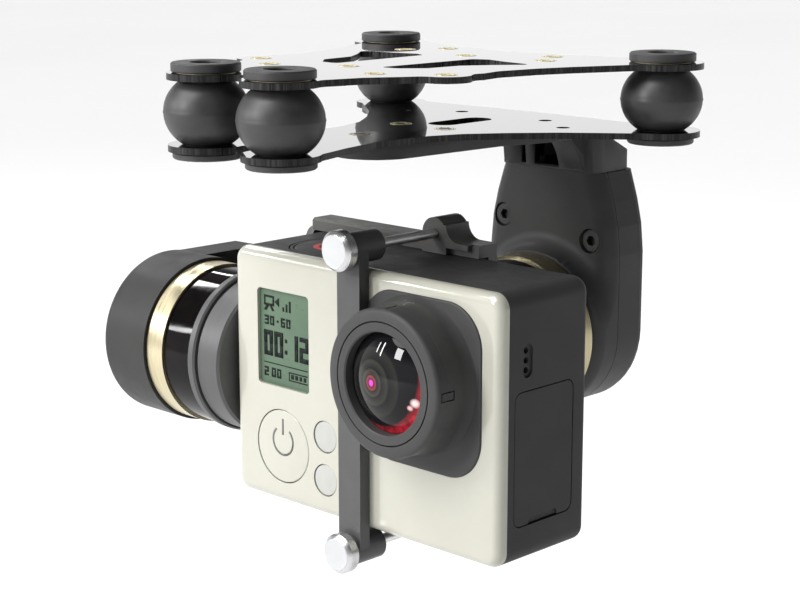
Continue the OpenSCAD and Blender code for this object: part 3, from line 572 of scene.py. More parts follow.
BELL = clouded("bell_gloss", grey(0.002), (0.006, 0.004, 0.004), (3, 5), ((5, 4), 0.03, 0.08),
               ((2.4, 2, 0.6, (8, 1, 1)), 0.04, 0.01), rough=0.05, specular=0.1)
GOLD_X = turned("gold_ring_x", (0.56, 0.49, 0.32), (0.68, 0.61, 0.42), 0.3, "X", aniso=0.4)
GOLD_Y = turned("gold_ring_y", (0.46, 0.40, 0.25), (0.56, 0.50, 0.33), 0.3, "Y", aniso=0.4)
PAD_GOLD = turned("pad_gold", (0.80, 0.70, 0.38), (0.98, 0.90, 0.60), 0.22, "Z", metallic=0.55)
DISC = turned("disc_grey", (0.074, 0.074, 0.076), (0.094, 0.094, 0.096), 0.42, "X", metallic=0.35)
STEEL_Y = turned("steel_turned", (0.54, 0.54, 0.55), (0.68, 0.68, 0.69), 0.28, "Y")
STEEL_FACE = grained("steel_face", (0.49, 0.495, 0.505), (0.55, 0.555, 0.565), 0.42, grain=0.18, depth=0.012,
                     metallic=0.5)
ROD_STEEL = grained("rod_steel", (0.80, 0.80, 0.79), (0.90, 0.90, 0.89), 0.4, grain=0.3, depth=0.006,
                    metallic=1.0)
STEEL = turned("steel_plain", (0.50, 0.50, 0.51), (0.64, 0.64, 0.65), 0.28, "Z")
BLACK_STEEL = turned("blackened_screw", (0.05, 0.05, 0.052), (0.09, 0.09, 0.092), 0.36, "Y", metallic=0.8)
CAST = turned("cast_grey", grey(0.14), grey(0.20), 0.45, "X", metallic=0.8)
CORE = turned("laminated_core", (0.22, 0.22, 0.23), (0.36, 0.36, 0.37), 0.4, "X", metallic=0.9)
CLAMP = grained("clamp_anodised", (0.060, 0.060, 0.061), (0.075, 0.075, 0.077), 0.38, grain=0.25,
                edge_highlight_tone=grey(0.14), specular=0.3)
CRADLE = grained("cradle_anodised", (0.070, 0.069, 0.067), (0.088, 0.086, 0.084), 0.42, grain=0.25,
                 edge_highlight_tone=grey(0.13), specular=0.3)
BOARD = clouded("circuit_board", (0.01, 0.09, 0.04), (0.02, 0.16, 0.07), (1.2, 4), ((1, 4), 0.3, 0.45),
                ((0.6, 2), 0.2, 0.02), start=0.35, rough=0.35, coat=0.4)
COPPER = make_copper()
FROSTED = clouded("frosted_window", (0.36, 0.36, 0.34), (0.39, 0.39, 0.37), (1.5, 4), ((1, 3), 0.38, 0.5),
                  ((0.3, 3), 0.1, 0.02), rough=0.45, coat=0.3)
INK = ink("display_ink", (0.010, 0.014, 0.012))
SYMBOL = ink("symbol_grey", (0.16, 0.16, 0.15))
RED = ink("record_red", (0.55, 0.03, 0.03), 0.35)
# Black of painted shadow, for gaps and holes: behind the card door and in the pads' vias.
VOID = ink("shadow_gap", grey(0.006), 0.8)
DEEP_BLACK = grained("lens_deep_black", grey(0.006), grey(0.010), 0.3, grain=0.2, depth=0.01, specular=0.4)
CELL = grained("battery_wrap", (0.02, 0.05, 0.16), (0.03, 0.07, 0.22), 0.35)


# ---------- CAD nodes that stay, with their materials ----------

MOTOR_PARTS = {
    "stator_mount": CAST, "stator_core": CORE, "windings": COPPER, "bearings": STEEL, "bell": BELL,
    "magnets": CORE, "shaft": STEEL, "shaft_clip": BLACK_STEEL,
}
KEPT = {f"{motor}_{part}": made_of for motor in ("roll", "pitch") for part, made_of in MOTOR_PARTS.items()}
KEPT |= {f"{held}_screws": BLACK_STEEL
         for held in ("bracket", "roll_cover", "roll_arm", "pitch_cap", "hub", "cradle")}
KEPT |= {
    "roll_rear_shell": HOUSING, "controller_board": BOARD, "roll_gold_ring": GOLD_Y, "roll_output_disc": DISC,
    "roll_arm": ARM_GREY, "pitch_motor_cap": ARM_GREY, "pitch_gold_ring": GOLD_X, "pitch_output_hub": DISC,
    "cradle": CRADLE, "imu_sensor": BOARD, "clamp_bar": CLAMP, "camera_sensor_board": BOARD,
    "camera_battery": CELL, "camera_chassis": CAST,
}
SOFT_EDGED = {"cradle": 0.3, "clamp_bar": 0.3}


def dress_cad():
    """Materials for the CAD nodes that stay, and small bevels on the blocky ones."""
    for name, material in KEPT.items():
        obj = nodes[name]
        dress(obj, material)
        if name in SOFT_EDGED:
            weld = obj.modifiers.new("weld", "WELD")
            weld.merge_threshold = 0.002 * MM
            flat = obj.modifiers.new("flat", "DECIMATE")
            flat.decimate_type = "DISSOLVE"
            flat.angle_limit = math.radians(1.0)
            bevel(obj, SOFT_EDGED[name], 3)


dress_cad()


# ---------- camera: body, front plate and windows ----------

CORNER_R = 2.4
BEZEL_CORNER_R = 6.5


def camera_outline():
    """The camera's front view."""
    return round_rect(BODY_LOW[0], BODY_LOW[2], BODY_HIGH[0], BODY_HIGH[2], CORNER_R, 10)


def bezel_outline(grow=0.0):
    """The lens surround's front view, grown by a gap."""
    return round_rect(BEZEL_LOW[0] - grow, BEZEL_LOW[2] - grow, BEZEL_HIGH[0] + grow, BEZEL_HIGH[2] + grow,
                      BEZEL_CORNER_R + grow, 16)


def door_shape(name, x0, x1, gap):
    """The side door's outline as a block between two X planes."""
    (y0, z0), (y1, z1) = DOOR_LOW[1:] + gap, DOOR_HIGH[1:] - gap
    return extrude(name, "X", round_rect(y0, z0, y1, z1, 1.5 - gap), x0, x1)


def camera_body():
    """Case behind the front plate, with sound holes and seats for the door and the shutter button."""
    body = slab("camera_case", camera_outline(), BODY_LOW[1], BODY_HIGH[1], back_r=1.3)
    side, top = BODY_HIGH[0], BODY_HIGH[2]
    y, z = DOOR_LOW[1] + 2.7, DOOR_HIGH[2] + 1.9
    tools = [extrude("pill", "X", round_rect(y - 1.1, z, y + 1.1, z + 5, 1.08), side - 0.35, side + 1)]
    tools += [rod(f"sound_{i}", "X", (side - 2, y, z + 1.05 + 1.45 * i), 0.48, 3, 24) for i in range(3)]
    x, y = SHUTTER[:2]
    r = SHUTTER_R + 0.72
    groove = [(r, top - 0.3), (r + 0.22, top - 0.3), (r + 0.22, top + 1), (r, top + 1)]
    tools += [door_shape("door_seat", side - 0.6, side + 1, 0),
              rod("shutter_seat", "Z", (x, y, top - 0.9), SHUTTER_R + 0.2, 2, 96),
              lathe("shutter_groove", groove, "Z", (x, y, 0), closed=True)]
    cut(body, *tools)
    bevel(body, 0.06, 1, 50)
    finish_piece(body, CAMERA_GREY, "camera_cradle", ["camera_body"])


def side_door():
    """Card door with a nail slot, over a black sheet of painted shadow in its gap."""
    side = BODY_HIGH[0]
    door = door_shape("card_door", side - 0.6, side - 0.02, 0.13)
    y0, y1, z = DOOR_LOW[1] + 3.2, DOOR_HIGH[1] - 3.2, DOOR_LOW[2] + 0.6
    slot = [(y0, z - 1.5), (y1, z - 1.5), (y1 - 0.3, z + 0.35), (y1 - 0.9, z + 0.6), (y0 + 0.9, z + 0.6),
            (y0 + 0.3, z + 0.35)]
    cut(door, extrude("nail", "X", slot, side - 0.35, side + 1))
    bevel(door, 0.1, 2, 50)
    finish_piece(door, CAMERA_GREY, "camera_cradle", ["camera_side_door"])
    finish_piece(door_shape("card_door_shadow", side - 0.75, side - 0.59, 0), VOID, "camera_cradle")


def front_plate():
    """Cream front with a soft edge, cut out for the display, the lens, the windows and the power button."""
    plate = slab("front_fascia", camera_outline(), PLATE_LOW[1], PLATE_HIGH[1], front_r=1.5, steps=8)
    y0, y1 = PLATE_LOW[1] - 1, PLATE_HIGH[1] + 1
    tools = [slab("window", round_rect(LCD_LOW[0], LCD_LOW[2], LCD_HIGH[0], LCD_HIGH[2], 0.7), y0, y1),
             rod("power_seat", "Y", (POWER[0], y0, POWER[2]), POWER_R + 0.13, y1 - y0, 128)]
    tools += [rod("light_seat", "Y", (LIGHT_X, y0, z), LIGHT_R + 0.1, y1 - y0, 64) for z in LIGHT_ZS]
    tools.append(slab("bezel_seat", bezel_outline(0.03), y0, y1))
    cut(plate, *tools)
    bevel(plate, 0.12, 2, 40)
    finish_piece(plate, IVORY, "camera_cradle", ["camera_front_plate"])


def camera_lens():
    """Surround, barrel, rim and front glass."""
    x, z = LENS[0], LENS[2]
    inner = LENS_R - 1.5
    surround = slab("lens_surround", bezel_outline(), BEZEL_Y, PLATE_HIGH[1], front_r=0.25)
    cut(surround, rod("lens_way", "Y", (x, BEZEL_Y - 1, z), inner, 6, 128))
    finish_piece(surround, LENS_BLACK, "camera_cradle", ["camera_lens_bezel"])
    f = LENS_FRONT
    flare = [(LENS_R + 0.2 + 0.75 * t ** 2.4, BEZEL_Y - 2.2 + 2.35 * t) for t in np.linspace(0, 1, 10)]
    profile = [(inner, f + 2.2), (LENS_R, f + 2.2)] + flare + [(inner, BEZEL_Y + 0.15)]
    barrel = lathe("lens_barrel", profile, "Y", (x, 0, z), 200, closed=True)
    beside_bar = slab("bar_room", line_box(BEZEL_LOW[0] - 6, z - 15, BEZEL_LOW[0] - 0.05, z + 15),
                      PLATE_LOW[1] - 2.5, PLATE_LOW[1] + 1)
    cut(barrel, beside_bar, *engraved_marks(x, z, f))
    finish_piece(barrel, LENS_BLACK, "camera_cradle")
    groove_r, glass_r = 0.82 * LENS_R, 7.55
    shoulder = [(-1.0, 2.5), (-0.01, 2.5), (-0.02, 0.62), (-0.1, 0.38), (-0.3, 0.15), (-0.55, 0.03)]
    groove = [(0.14, 0), (0.1, 0.05), (0.1, 0.6), (-0.1, 0.6), (-0.1, 0.05), (-0.14, 0)]
    lip = [(0.25, 0.02), (0.04, 0.2), (0, 1.6)]
    profile = [(r0 + dr, f + dy) for r0, part in ((LENS_R, shoulder), (groove_r, groove), (glass_r, lip))
               for dr, dy in part] + [(LENS_R - 1.0, f + 1.6)]
    rim = lathe("lens_rim", profile, "Y", (x, 0, z), 200, closed=True)
    cut(rim, *engraved_marks(x, z, f))
    finish_piece(rim, LENS_BLACK, "camera_cradle", ["camera_lens_ring"])
    dome_r, edge = 14.0, glass_r - 0.02
    dome = [(dome_r * math.sin(a), f - 0.6 + dome_r * (1 - math.cos(a)))
            for a in np.linspace(0, math.asin(edge / dome_r), 32)]
    glass = lathe("front_element", dome + [(edge, f + 2.4), (0, f + 2.4)], "Y", (x, 0, z), 160, 60)
    finish_piece(glass, GLASS, "camera_cradle", ["camera_front_glass"])
    inside_of_lens(x, z, f, glass_r)


def engraved_marks(x, z, f):
    """Shallow outlined mark on the barrel's side and an index line on its top."""
    def patch(start, end, y0, y1):
        """A curved block's place on the barrel, between two angles and two depths."""
        corners = [(x + r * math.cos(math.radians(a)), z + r * math.sin(math.radians(a)))
                   for r, a in ((LENS_R - 0.22, start), (LENS_R - 0.22, end), (LENS_R + 1.5, end),
                                (LENS_R + 1.5, start))]
        return extrude("mark", "Y", corners, y0, y1)
    y0, y1 = f + 0.75, f + 3.4
    low, high, line, width = -4.5, 3.0, 1.1, 0.24
    return [patch(low, high, y0, y0 + width), patch(low, high, y1 - width, y1),
            patch(low, low + line, y0 + 0.1, y1 - 0.1), patch(high - line, high, y0 + 0.1, y1 - 0.1),
            patch(88, 89.6, f + 0.7, f + 3.2)]


def inside_of_lens(x, z, f, glass_r):
    """Black stepped cone behind the glass."""
    steps = [(glass_r - 0.1, f + 2.9)]
    for i in range(7):
        r, y = glass_r - 0.6 - 0.62 * i, f + 3.0 + 0.42 * i
        steps += [(r + 0.25, y), (r, y + 0.3)]
    steps += [(2.6, f + 6.6), (2.3, f + 6.9), (0, f + 6.9), (0, f + 8.0), (glass_r - 0.1, f + 8.0)]
    cone = lathe("lens_baffle", steps, "Y", (x, 0, z))
    finish_piece(cone, DEEP_BLACK, "camera_cradle", ["camera_lens_cell"])


def disc_button(name, axis, centre, r, top, thickness, material, body, replaced, out=-1):
    """A round button with an eased rim, facing out along its axis."""
    h = out * thickness
    profile = eased([(0, top), (r, top), (r, top - h), (0, top - h)], 0.25, 5)
    finish_piece(lathe(name, profile, axis, centre, 128), material, body, replaced)


def strokes(name, outlines, y, material, body):
    """Thin raised marks from closed XZ outlines, each a hair prouder than the last so none share a face."""
    parts = [extrude(f"{name}_{i}", "Y", outline, y - 0.015 - 0.012 * (i % 6), y + 0.05, 180)
             for i, outline in enumerate(outlines)]
    finish_piece(join(name, parts), material, body)


def line_box(x0, z0, x1, z1):
    """The four corners of a rectangle."""
    return [(x0, z0), (x1, z0), (x1, z1), (x0, z1)]


SEGMENTS = {"0": "abcdef", "1": "bc", "2": "abged", "3": "abgcd", "6": "afgedc"}


def digit(char, x, z, w, h, t):
    """The strokes of one seven-segment digit, its lower left corner at (x, z)."""
    m = z + h / 2
    bars = {"a": (x, z + h - t, x + w, z + h), "g": (x, m - t / 2, x + w, m + t / 2),
            "d": (x, z, x + w, z + t), "f": (x, m, x + t, z + h), "b": (x + w - t, m, x + w, z + h),
            "e": (x, z, x + t, m), "c": (x + w - t, z, x + w, m)}
    return [line_box(*bars[s]) for s in SEGMENTS[char]]


def display():
    """Display set behind the front plate, with a recorder icon, digits and a charge bar."""
    x0, z0, x1, z1 = LCD_LOW[0], LCD_LOW[2], LCD_HIGH[0], LCD_HIGH[2]
    y = PLATE_LOW[1] + 0.55
    panel = slab("lcd_panel", round_rect(x0 - 0.3, z0 - 0.3, x1 + 0.3, z1 + 0.3, 0.4), y, y + 1.9,
                 front_r=0.03, steps=2)
    finish_piece(panel, SCREEN, "camera_cradle", ["camera_lcd"])
    x, z = x0 + 1.0, z1 - 3.3
    icon = [line_box(0, 0.5, 0.35, 2.1), line_box(0, 1.8, 2.3, 2.15), line_box(0, 0.5, 2.3, 0.85),
            line_box(2.0, 0.5, 2.35, 2.15), [(2.5, 1.3), (3.5, 0.6), (3.5, 2.0)],
            [(0.5, 0.5), (1.1, 0.5), (0.6, -0.3), (0, -0.3)],
            [(1.3, 0.5), (1.9, 0.5), (2.4, -0.3), (1.8, -0.3)]]
    marks = [[(x + dx, z + dz) for dx, dz in outline] for outline in icon]
    x += 4.3
    marks += [line_box(x + 0.75 * i, z, x + 0.75 * i + 0.4, z + 0.7 + 0.55 * i) for i in range(3)]
    small, large = (0.95, 1.5, 0.31), (2.05, 4.1, 0.74)

    def number(chars, places, row, size):
        return [stroke for char, at in zip(chars, places) for stroke in digit(char, x0 + at, row, *size)]

    row = z1 - 5.9
    marks += number("30", (1.1, 2.35), row, small)
    marks.append(line_box(x0 + 3.95, row + 0.6, x0 + 4.35, row + 0.95))
    marks += number("60", (4.9, 6.15), row, small)
    row = z1 - 10.9
    marks += number("0012", (0.9, 3.3, 6.75, 9.15), row, large)
    marks += [line_box(x0 + 5.75, row + dz, x0 + 6.3, row + dz + 0.6) for dz in (0.8, 2.6)]
    marks.append(line_box(x0 + 0.8, z0 + 3.35, x1 - 0.8, z0 + 3.5))
    row = z0 + 1.2
    marks += number("200", (0.9, 2.6, 3.85), row, small)
    x = x0 + 6.6
    marks += [line_box(x, row, x + 0.2, row + 1.45), line_box(x, row, x1 - 0.9, row + 0.18),
              line_box(x, row + 1.27, x1 - 0.9, row + 1.45)]
    marks += [line_box(x + 0.55 + 0.95 * i, row + 0.4, x + 1.15 + 0.95 * i, row + 1.1) for i in range(4)]
    strokes("display_marks", marks, y, INK, "camera_cradle")


def front_controls():
    """Power button with its symbol, and the two round indicator windows."""
    face = PLATE_LOW[1]
    x, z = POWER[0], POWER[2]
    disc_button("power_key_cap", "Y", (x, face, z), POWER_R, 0.02, 0.75, IVORY, "power_key", ["power_button"])
    r, line = 2.3, 0.18
    z += 0.9
    ring = arc(x, z, r + line, 130, 410, 40) + arc(x, z, r - line, 410, 130, 40)
    bar = line_box(x - line, z + 1.0, x + line, z + 3.6)
    strokes("power_mark", [ring, bar], face, SYMBOL, "power_key")
    for i, z in enumerate(LIGHT_ZS):
        disc_button(f"indicator_window_{i}", "Y", (LIGHT_X, face, z), LIGHT_R, 0.12, 1.2, FROSTED,
                    "camera_cradle", [] if i else ["camera_indicators"])


def shutter():
    """Shutter button with a red ring."""
    x, y, top = SHUTTER[0], SHUTTER[1], BODY_HIGH[2] + 0.08
    disc_button("shutter_cap", "Z", (x, y, 0), SHUTTER_R, top, 1.3, CAMERA_GREY, "shutter_key",
                ["shutter_button"], out=1)
    ring = lathe("shutter_ring", line_box(2.95, top - 0.05, 3.85, top + 0.02), "Z", (x, y, 0), closed=True)
    finish_piece(ring, RED, "shutter_key")


camera_body()
side_door()
front_plate()
camera_lens()
display()
front_controls()
shutter()


# ---------- clamp screws ----------

def thumb_screw(side):
    """Turned head with a polished chamfer on a long rod."""
    node, body = f"{side}_thumb_screw", f"{side}_screw"
    x, _, z = middle(node)
    r, front, tip = radius(node), low_high(node)[0][1], low_high(node)[1][1]
    head, shank_r, root_r = 2.2, 0.8, 0.72
    back = front + head
    profile = [(shank_r, front + 0.5), (r - 0.62, front + 0.02), (r - 0.55, front + 0.06),
               (r - 0.1, front + 0.5), (r, front + 0.62), (r, back - 0.25), (r - 0.25, back), (shank_r, back)]
    knob = lathe(f"knob_{side}", profile, "Y", (x, 0, z), closed=True)
    finish_piece(knob, STEEL_Y, body, [node])
    rim, deep = front + 0.05, front + 0.4
    profile = [(0, front), (r - 0.66, front), (r - 0.62, rim), (r - 0.7, deep), (0, deep)]
    face = lathe(f"knob_face_{side}", profile, "Y", (x, 0, z))
    finish_piece(face, STEEL_FACE, body)
    start, pitch = tip - 5.4, 0.35
    profile = [(0, back - 0.3), (shank_r, back - 0.3), (shank_r, start)]
    for y in [start + pitch * i for i in range(14)]:
        profile += [(root_r, y + 0.03), (shank_r, y + 0.15), (shank_r, y + 0.2), (root_r, y + 0.32)]
    profile += [(0.6, tip - 0.1), (0, tip - 0.1)]
    shank = lathe(f"screw_rod_{side}", profile, "Y", (x, 0, z), 40)
    finish_piece(shank, ROD_STEEL, body)


for side in ("top", "bottom"):
    thumb_screw(side)


# ---------- roll bracket ----------

NECK_X, NECK_FRONT, NECK_REAR = 10.9, COVER_LOW[1] + 2.8, 42.4
NECK_FRONT_R, NECK_REAR_R = 2.6, 0.8


def bracket_base(under, top):
    """Flat base with a round nose and five screw holes."""
    nose_r, nose_y = 7.2, -8.5
    nose = [(nose_r * math.cos(a), nose_y + nose_r * math.sin(a)) for a in np.linspace(math.pi, TURN, 33)]
    plan = nose + [(8.3, 12), (NECK_X, 22), (NECK_X, 27.5), (-NECK_X, 27.5), (-NECK_X, 22), (-8.3, 12)]
    base = extrude("bracket_base", "Z", plan, under, top)
    cut(base, *[rod("base_hole", "Z", (x, y, under - 1), 1.1, 5, 32)
                for x, y in BRACKET_SCREWS + ((-9.3, 21.6), (9.3, 21.6))])
    bevel(base, 0.3, 3)
    applied(base)
    return base


def neck_outline():
    """The neck from above, with broad front corners and tight rear ones."""
    x, y = NECK_X - NECK_FRONT_R, NECK_FRONT + NECK_FRONT_R
    front = arc(x, y, NECK_FRONT_R, 0, -90, 10) + arc(-x, y, NECK_FRONT_R, -90, -180, 10)
    x, y = NECK_X - NECK_REAR_R, NECK_REAR - NECK_REAR_R
    return front + arc(-x, y, NECK_REAR_R, 180, 90, 4) + arc(x, y, NECK_REAR_R, 90, 0, 4)


def neck_flare(name, stations, less, seam, under):
    """Part of the neck's front that curves out to meet the base, further out to the right."""
    rings = []
    for x in stations:
        reach = float(np.interp(x, (-9.6, -5.6, -2.6, 2.9, 8.6), (1.2, 1.8, 2.3, 3.3, 4.5))) - less
        curve = [(NECK_FRONT + 0.02 - reach * (1 - t) ** 1.8, under - 0.1 - (under - seam - 0.3) * t)
                 for t in np.linspace(0, 1, 14)]
        back = NECK_FRONT + 3
        outline = [(back, under + 0.4), (NECK_FRONT - reach, under + 0.4)] + curve + [(back, seam + 0.2)]
        rings.append([(x, y, z) for y, z in outline])
    flare = loft(name, rings)
    bevel(flare, 0.2, 2, 40)
    applied(flare)
    return flare


def neck_openings(seam, under):
    """A groove in the neck's front, and the cable way through it and down into the cover."""
    ahead, floor, back = 20, seam + 0.6, NECK_REAR - 1.4
    groove = line_box(ahead, floor, NECK_FRONT + 1.3, under - 0.7)
    way = [(ahead, floor), (back, floor), (back, -18.3), (NECK_FRONT + 0.4, under), (ahead, under - 0.7)]
    down = line_box(-8.8, NECK_FRONT + 1.8, 8.8, back)
    return [extrude("groove", "X", groove, -5.5, -4.5), extrude("way", "X", way, -2.6, 2.9),
            extrude("down", "Z", down, seam - 1, seam + 1.6)]


def bracket():
    """Flat base, and a neck with a sloped back whose front flares out under the base."""
    low, high = low_high("roll_bracket")
    seam, top = low[2], high[2]
    under = top - 2.5
    base = bracket_base(under, top)
    neck = extrude("neck_block", "Z", neck_outline(), seam, top - 0.05)
    ridge_y, back = 31.2, NECK_REAR + 0.2
    slope = [(ridge_y, top), (back, -17.5), (back, top + 2), (ridge_y, top + 2)]
    cut(neck, extrude("roof", "X", slope, -20, 20), *neck_openings(seam, under))
    bevel(neck, 0.22, 2, 40)
    applied(neck)
    flares = [neck_flare(name, stations, less, seam, under) for name, stations, less in (
        ("neck_left", (-9.6, -7.6, -5.5), 0), ("neck_strip", (-4.5, -3.5, -2.6), 0.9),
        ("neck_right", (2.9, 4.8, 6.7, 8.0, 8.6), 0))]
    whole = join("bracket", [base, neck] + flares)
    shade(whole, 40)
    finish_piece(whole, HOUSING, "lower_deck", ["roll_bracket"])


bracket()


# ---------- roll motor cover ----------

def hull_2d(points):
    """The convex outline of some points, anticlockwise."""
    points = sorted(set((round(float(a), 4), round(float(b), 4)) for a, b in points))

    def half(sequence):
        out = []
        for p in sequence:
            while len(out) > 1 and ((out[-1][0] - out[-2][0]) * (p[1] - out[-2][1])
                                    - (out[-1][1] - out[-2][1]) * (p[0] - out[-2][0])) <= 0:
                out.pop()
            out.append(p)
        return out[:-1]
    return np.array(half(points) + half(points[::-1]))


def world_points(node):
    """A CAD node's vertices in millimetres."""
    matrix = nodes[node].matrix_world
    return [np.array(matrix @ v.co) / MM for v in nodes[node].data.vertices]


def roll_cover():
    """Front of the roll housing: broad soft edges that run into the cove round the motor."""
    starts = hull_2d([(p[0], p[2]) for p in world_points("roll_rear_shell")])
    along = np.roll(starts, -1, 0) - starts
    normals = unit(np.stack([-along[:, 1], along[:, 0]], 1))
    sides = normals[:, 1] > -0.999
    face_y, split = COVER_LOW[1] + 3.0, COVER_HIGH[1] - 0.02
    hole_r, collar_r, cove_r, soft, wall = 12.2, 14.2, 3.0, 3.0, 1.4
    inner_y = face_y + 1.6
    turns, steps = 288, 72
    base = np.array([0, ROLL_Z])
    rings = []
    for i in range(turns):
        a = TURN * i / turns
        way = np.array([math.cos(a), math.sin(a)])
        reach = ((starts - base) * normals).sum(1) / (normals @ way - 1e-12)
        r_out = min(r for r in reach if r > 0)
        ring = []
        for u in np.linspace(0, 1, steps):
            r = hole_r + (r_out - hole_r) * (1 - (1 - u) ** 2)
            p = base + way * r
            inside = float(((p - starts) * normals).sum(1)[sides].min())
            d = min(max(inside, 0), soft)
            y = face_y + soft - math.sqrt(soft ** 2 - (soft - d) ** 2)
            if r < collar_r:
                y -= cove_r
            elif r < collar_r + cove_r:
                y -= cove_r - math.sqrt(cove_r ** 2 - (collar_r + cove_r - r) ** 2)
            ring.append((p[0], min(y, split - 0.2), p[1]))
        for r, y in ((r_out, split - 0.12), (r_out - 0.12, split), (r_out - wall, split),
                     (r_out - wall, inner_y), (hole_r, inner_y)):
            p = base + way * r
            ring.append((p[0], y, p[1]))
        rings.append(ring)
    n = len(rings[0])
    verts = [p for ring in rings for p in ring]
    faces = [[i * n + k, i * n + (k + 1) % n, ((i + 1) % turns) * n + (k + 1) % n, ((i + 1) % turns) * n + k]
             for i in range(turns) for k in range(n)]
    cover = add_mesh("roll_cover", verts, faces, 40)
    tools = []
    for x, z in ((-9.8, -30.0), (9.8, -32.4)):
        tools.append(rod("screw_recess", "Y", (x, face_y - 4, z), 2.15, 5.2))
        tools.append(rod("screw_way", "Y", (x, face_y - 4, z), 1.05, 9, 32))
    cut(cover, *tools, sharp=40)
    finish_piece(cover, HOUSING, "lower_deck", ["roll_front_cover"])


roll_cover()


# ---------- isolators ----------

def isolator(name):
    """Hollow moulded ball with flanges, stretched between the two decks."""
    x, y = middle(name)[:2]
    bottom, top = low_high(name)[0][2], low_high(name)[1][2]
    gap, ease, lip = 0.12, 0.15, 0.2
    ball_r, flange_r, neck_r, bore_r = radius(name), 5.25, 3.4, 2.25
    above, seat = UPPER_HIGH[2] + gap, UPPER_LOW[2] - gap
    below, foot = LOWER_LOW[2] - gap, LOWER_HIGH[2] + gap
    mid = (UPPER_LOW[2] + LOWER_HIGH[2]) / 2
    half = (UPPER_LOW[2] - LOWER_HIGH[2]) / 2 - gap
    outside = [(bore_r + lip, top), (flange_r - lip, top), (flange_r, top - lip), (flange_r, above + ease),
               (flange_r - ease, above), (neck_r, above), (neck_r, seat)]
    reach = half / math.sqrt(1 - ((neck_r + 0.5) / ball_r) ** 2)
    mould_line, line_width = 0.07, 0.12
    for h in np.linspace(half, -half, 33):
        r = ball_r * math.sqrt(1 - (h / reach) ** 2)
        outside.append((r + mould_line * math.exp(-(h / line_width) ** 2) - mould_line, mid + h))
    outside += [(neck_r, foot), (neck_r, below), (flange_r - ease, below), (flange_r, below - ease),
                (flange_r, bottom + lip), (flange_r - lip, bottom), (bore_r + lip, bottom),
                (bore_r, bottom + lip)]
    hollow, widest = half * 0.8, ball_r - 1.6
    inside = [(bore_r + (widest - bore_r) * math.sqrt(max(0, 1 - (h / hollow) ** 2)), mid + h)
              for h in np.linspace(-hollow, hollow, 17)]
    profile = outside + inside + [(bore_r, top - lip)]
    obj = lathe(f"rubber_{name}", profile, "Z", (x, y, 0), 96, 40, closed=True)
    dress(obj, RUBBER)
    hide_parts(name)
    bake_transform(obj)


for corner in CORNERS:
    isolator(f"isolator_{corner}")


# ---------- plates ----------

def laminate_plate(name, body):
    """The plate's own shape, with its faces polished and its edges streaked."""
    source = nodes[name]
    mesh = source.data.copy()
    mesh.transform(source.matrix_world)
    obj = added(f"laminate_{name}", mesh)
    dress(obj, LAMINATE, CUT_EDGE)
    for face in mesh.polygons:
        face.material_index = 0 if abs(face.normal.z) > 0.5 else 1
    shade(obj, 30)
    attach(obj, body)
    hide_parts(name)


laminate_plate("upper_plate", "root")
laminate_plate("lower_plate", "lower_deck")


# ---------- plated holes ----------

def pad(name, x, y, z, hole_r, outer_r, body, vias=8):
    """A gold pad around a hole, with small plated vias in it, their holes drawn as black discs of painted
    shadow.
    """
    pad_top, via_top, via_low, depth, via_r = z + 0.035, z + 0.045, z + 0.03, z - 1.02, 0.13
    profile = [(hole_r, depth), (hole_r, pad_top), (outer_r, pad_top), (outer_r, z), (hole_r + 0.1, depth)]
    ring = lathe(name, profile, "Z", (x, y, 0), 64, closed=True)
    dress(ring, PAD_GOLD)
    parts = [ring]
    mid_r = (hole_r + outer_r) / 2
    for i in range(vias):
        a = TURN * (i + 0.5) / vias
        dot = lathe(f"{name}_via{i}", [(0, via_top), (via_r, via_top), (via_r, via_low), (0, via_low)], "Z",
                    (x + mid_r * math.cos(a), y + mid_r * math.sin(a), 0), 10)
        dress(dot, VOID)
        parts.append(dot)
    piece = join(name, parts)
    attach(piece, body)


def mount_points():
    """The centres of the upper plate's holes, in millimetres, from the record's mounts."""
    points = []
    for mount in MOUNTS.values():
        if mount["kind"] == "bolt_pattern":
            cx, cy = mount["pos_m"][0] / MM, mount["pos_m"][1] / MM
            dx, dy = (mount["dims"].get(f"spacing_{axis}_mm", 0) / 2 for axis in "xy")
            points += [(cx + x, cy + y) for x in sorted({-dx, dx}) for y in sorted({-dy, dy})]
    return points


def plated_holes():
    """Gold pads round the plates' mounting holes, the isolators and the bracket's screws."""
    hole_r = MOUNTS["main_holes"]["dims"]["hole_r_mm"] - 0.04
    for i, (x, y) in enumerate(mount_points()):
        pad(f"hole_pad_{i}", x, y, 0, hole_r, 1.8, "root")
    for corner in CORNERS:
        x, y = middle(f"isolator_{corner}")[:2]
        pad(f"isolator_pad_{corner}", x, y, 0, 3.56, 4.6, "root", 16)
    for i, (x, y) in enumerate(BRACKET_SCREWS):
        pad(f"bracket_pad_{i}", x, y, LOWER_HIGH[2], 1.05, 1.8, "lower_deck")


plated_holes()


# ---------- stage, light and camera ----------

FLOOR_Z = -0.135


def stage():
    """A wide pale floor. The walls are the world's own light."""
    half, steps = 4.0, 8
    grid = np.linspace(-half / MM, half / MM, steps + 1)
    verts = [(x, y, FLOOR_Z / MM) for y in grid for x in grid]
    row = steps + 1
    faces = [[j * row + i, j * row + i + 1, (j + 1) * row + i + 1, (j + 1) * row + i]
             for j in range(steps) for i in range(steps)]
    floor = add_mesh("floor", verts, faces)
    p = Paint("floor_white", rough=0.7, specular=0.1)
    p.cloudy(p.noise(400, 2), grey(0.92), grey(0.94))
    p.bump((p.noise(3, 2), 0.02, 0.02))
    dress(floor, p.mat)


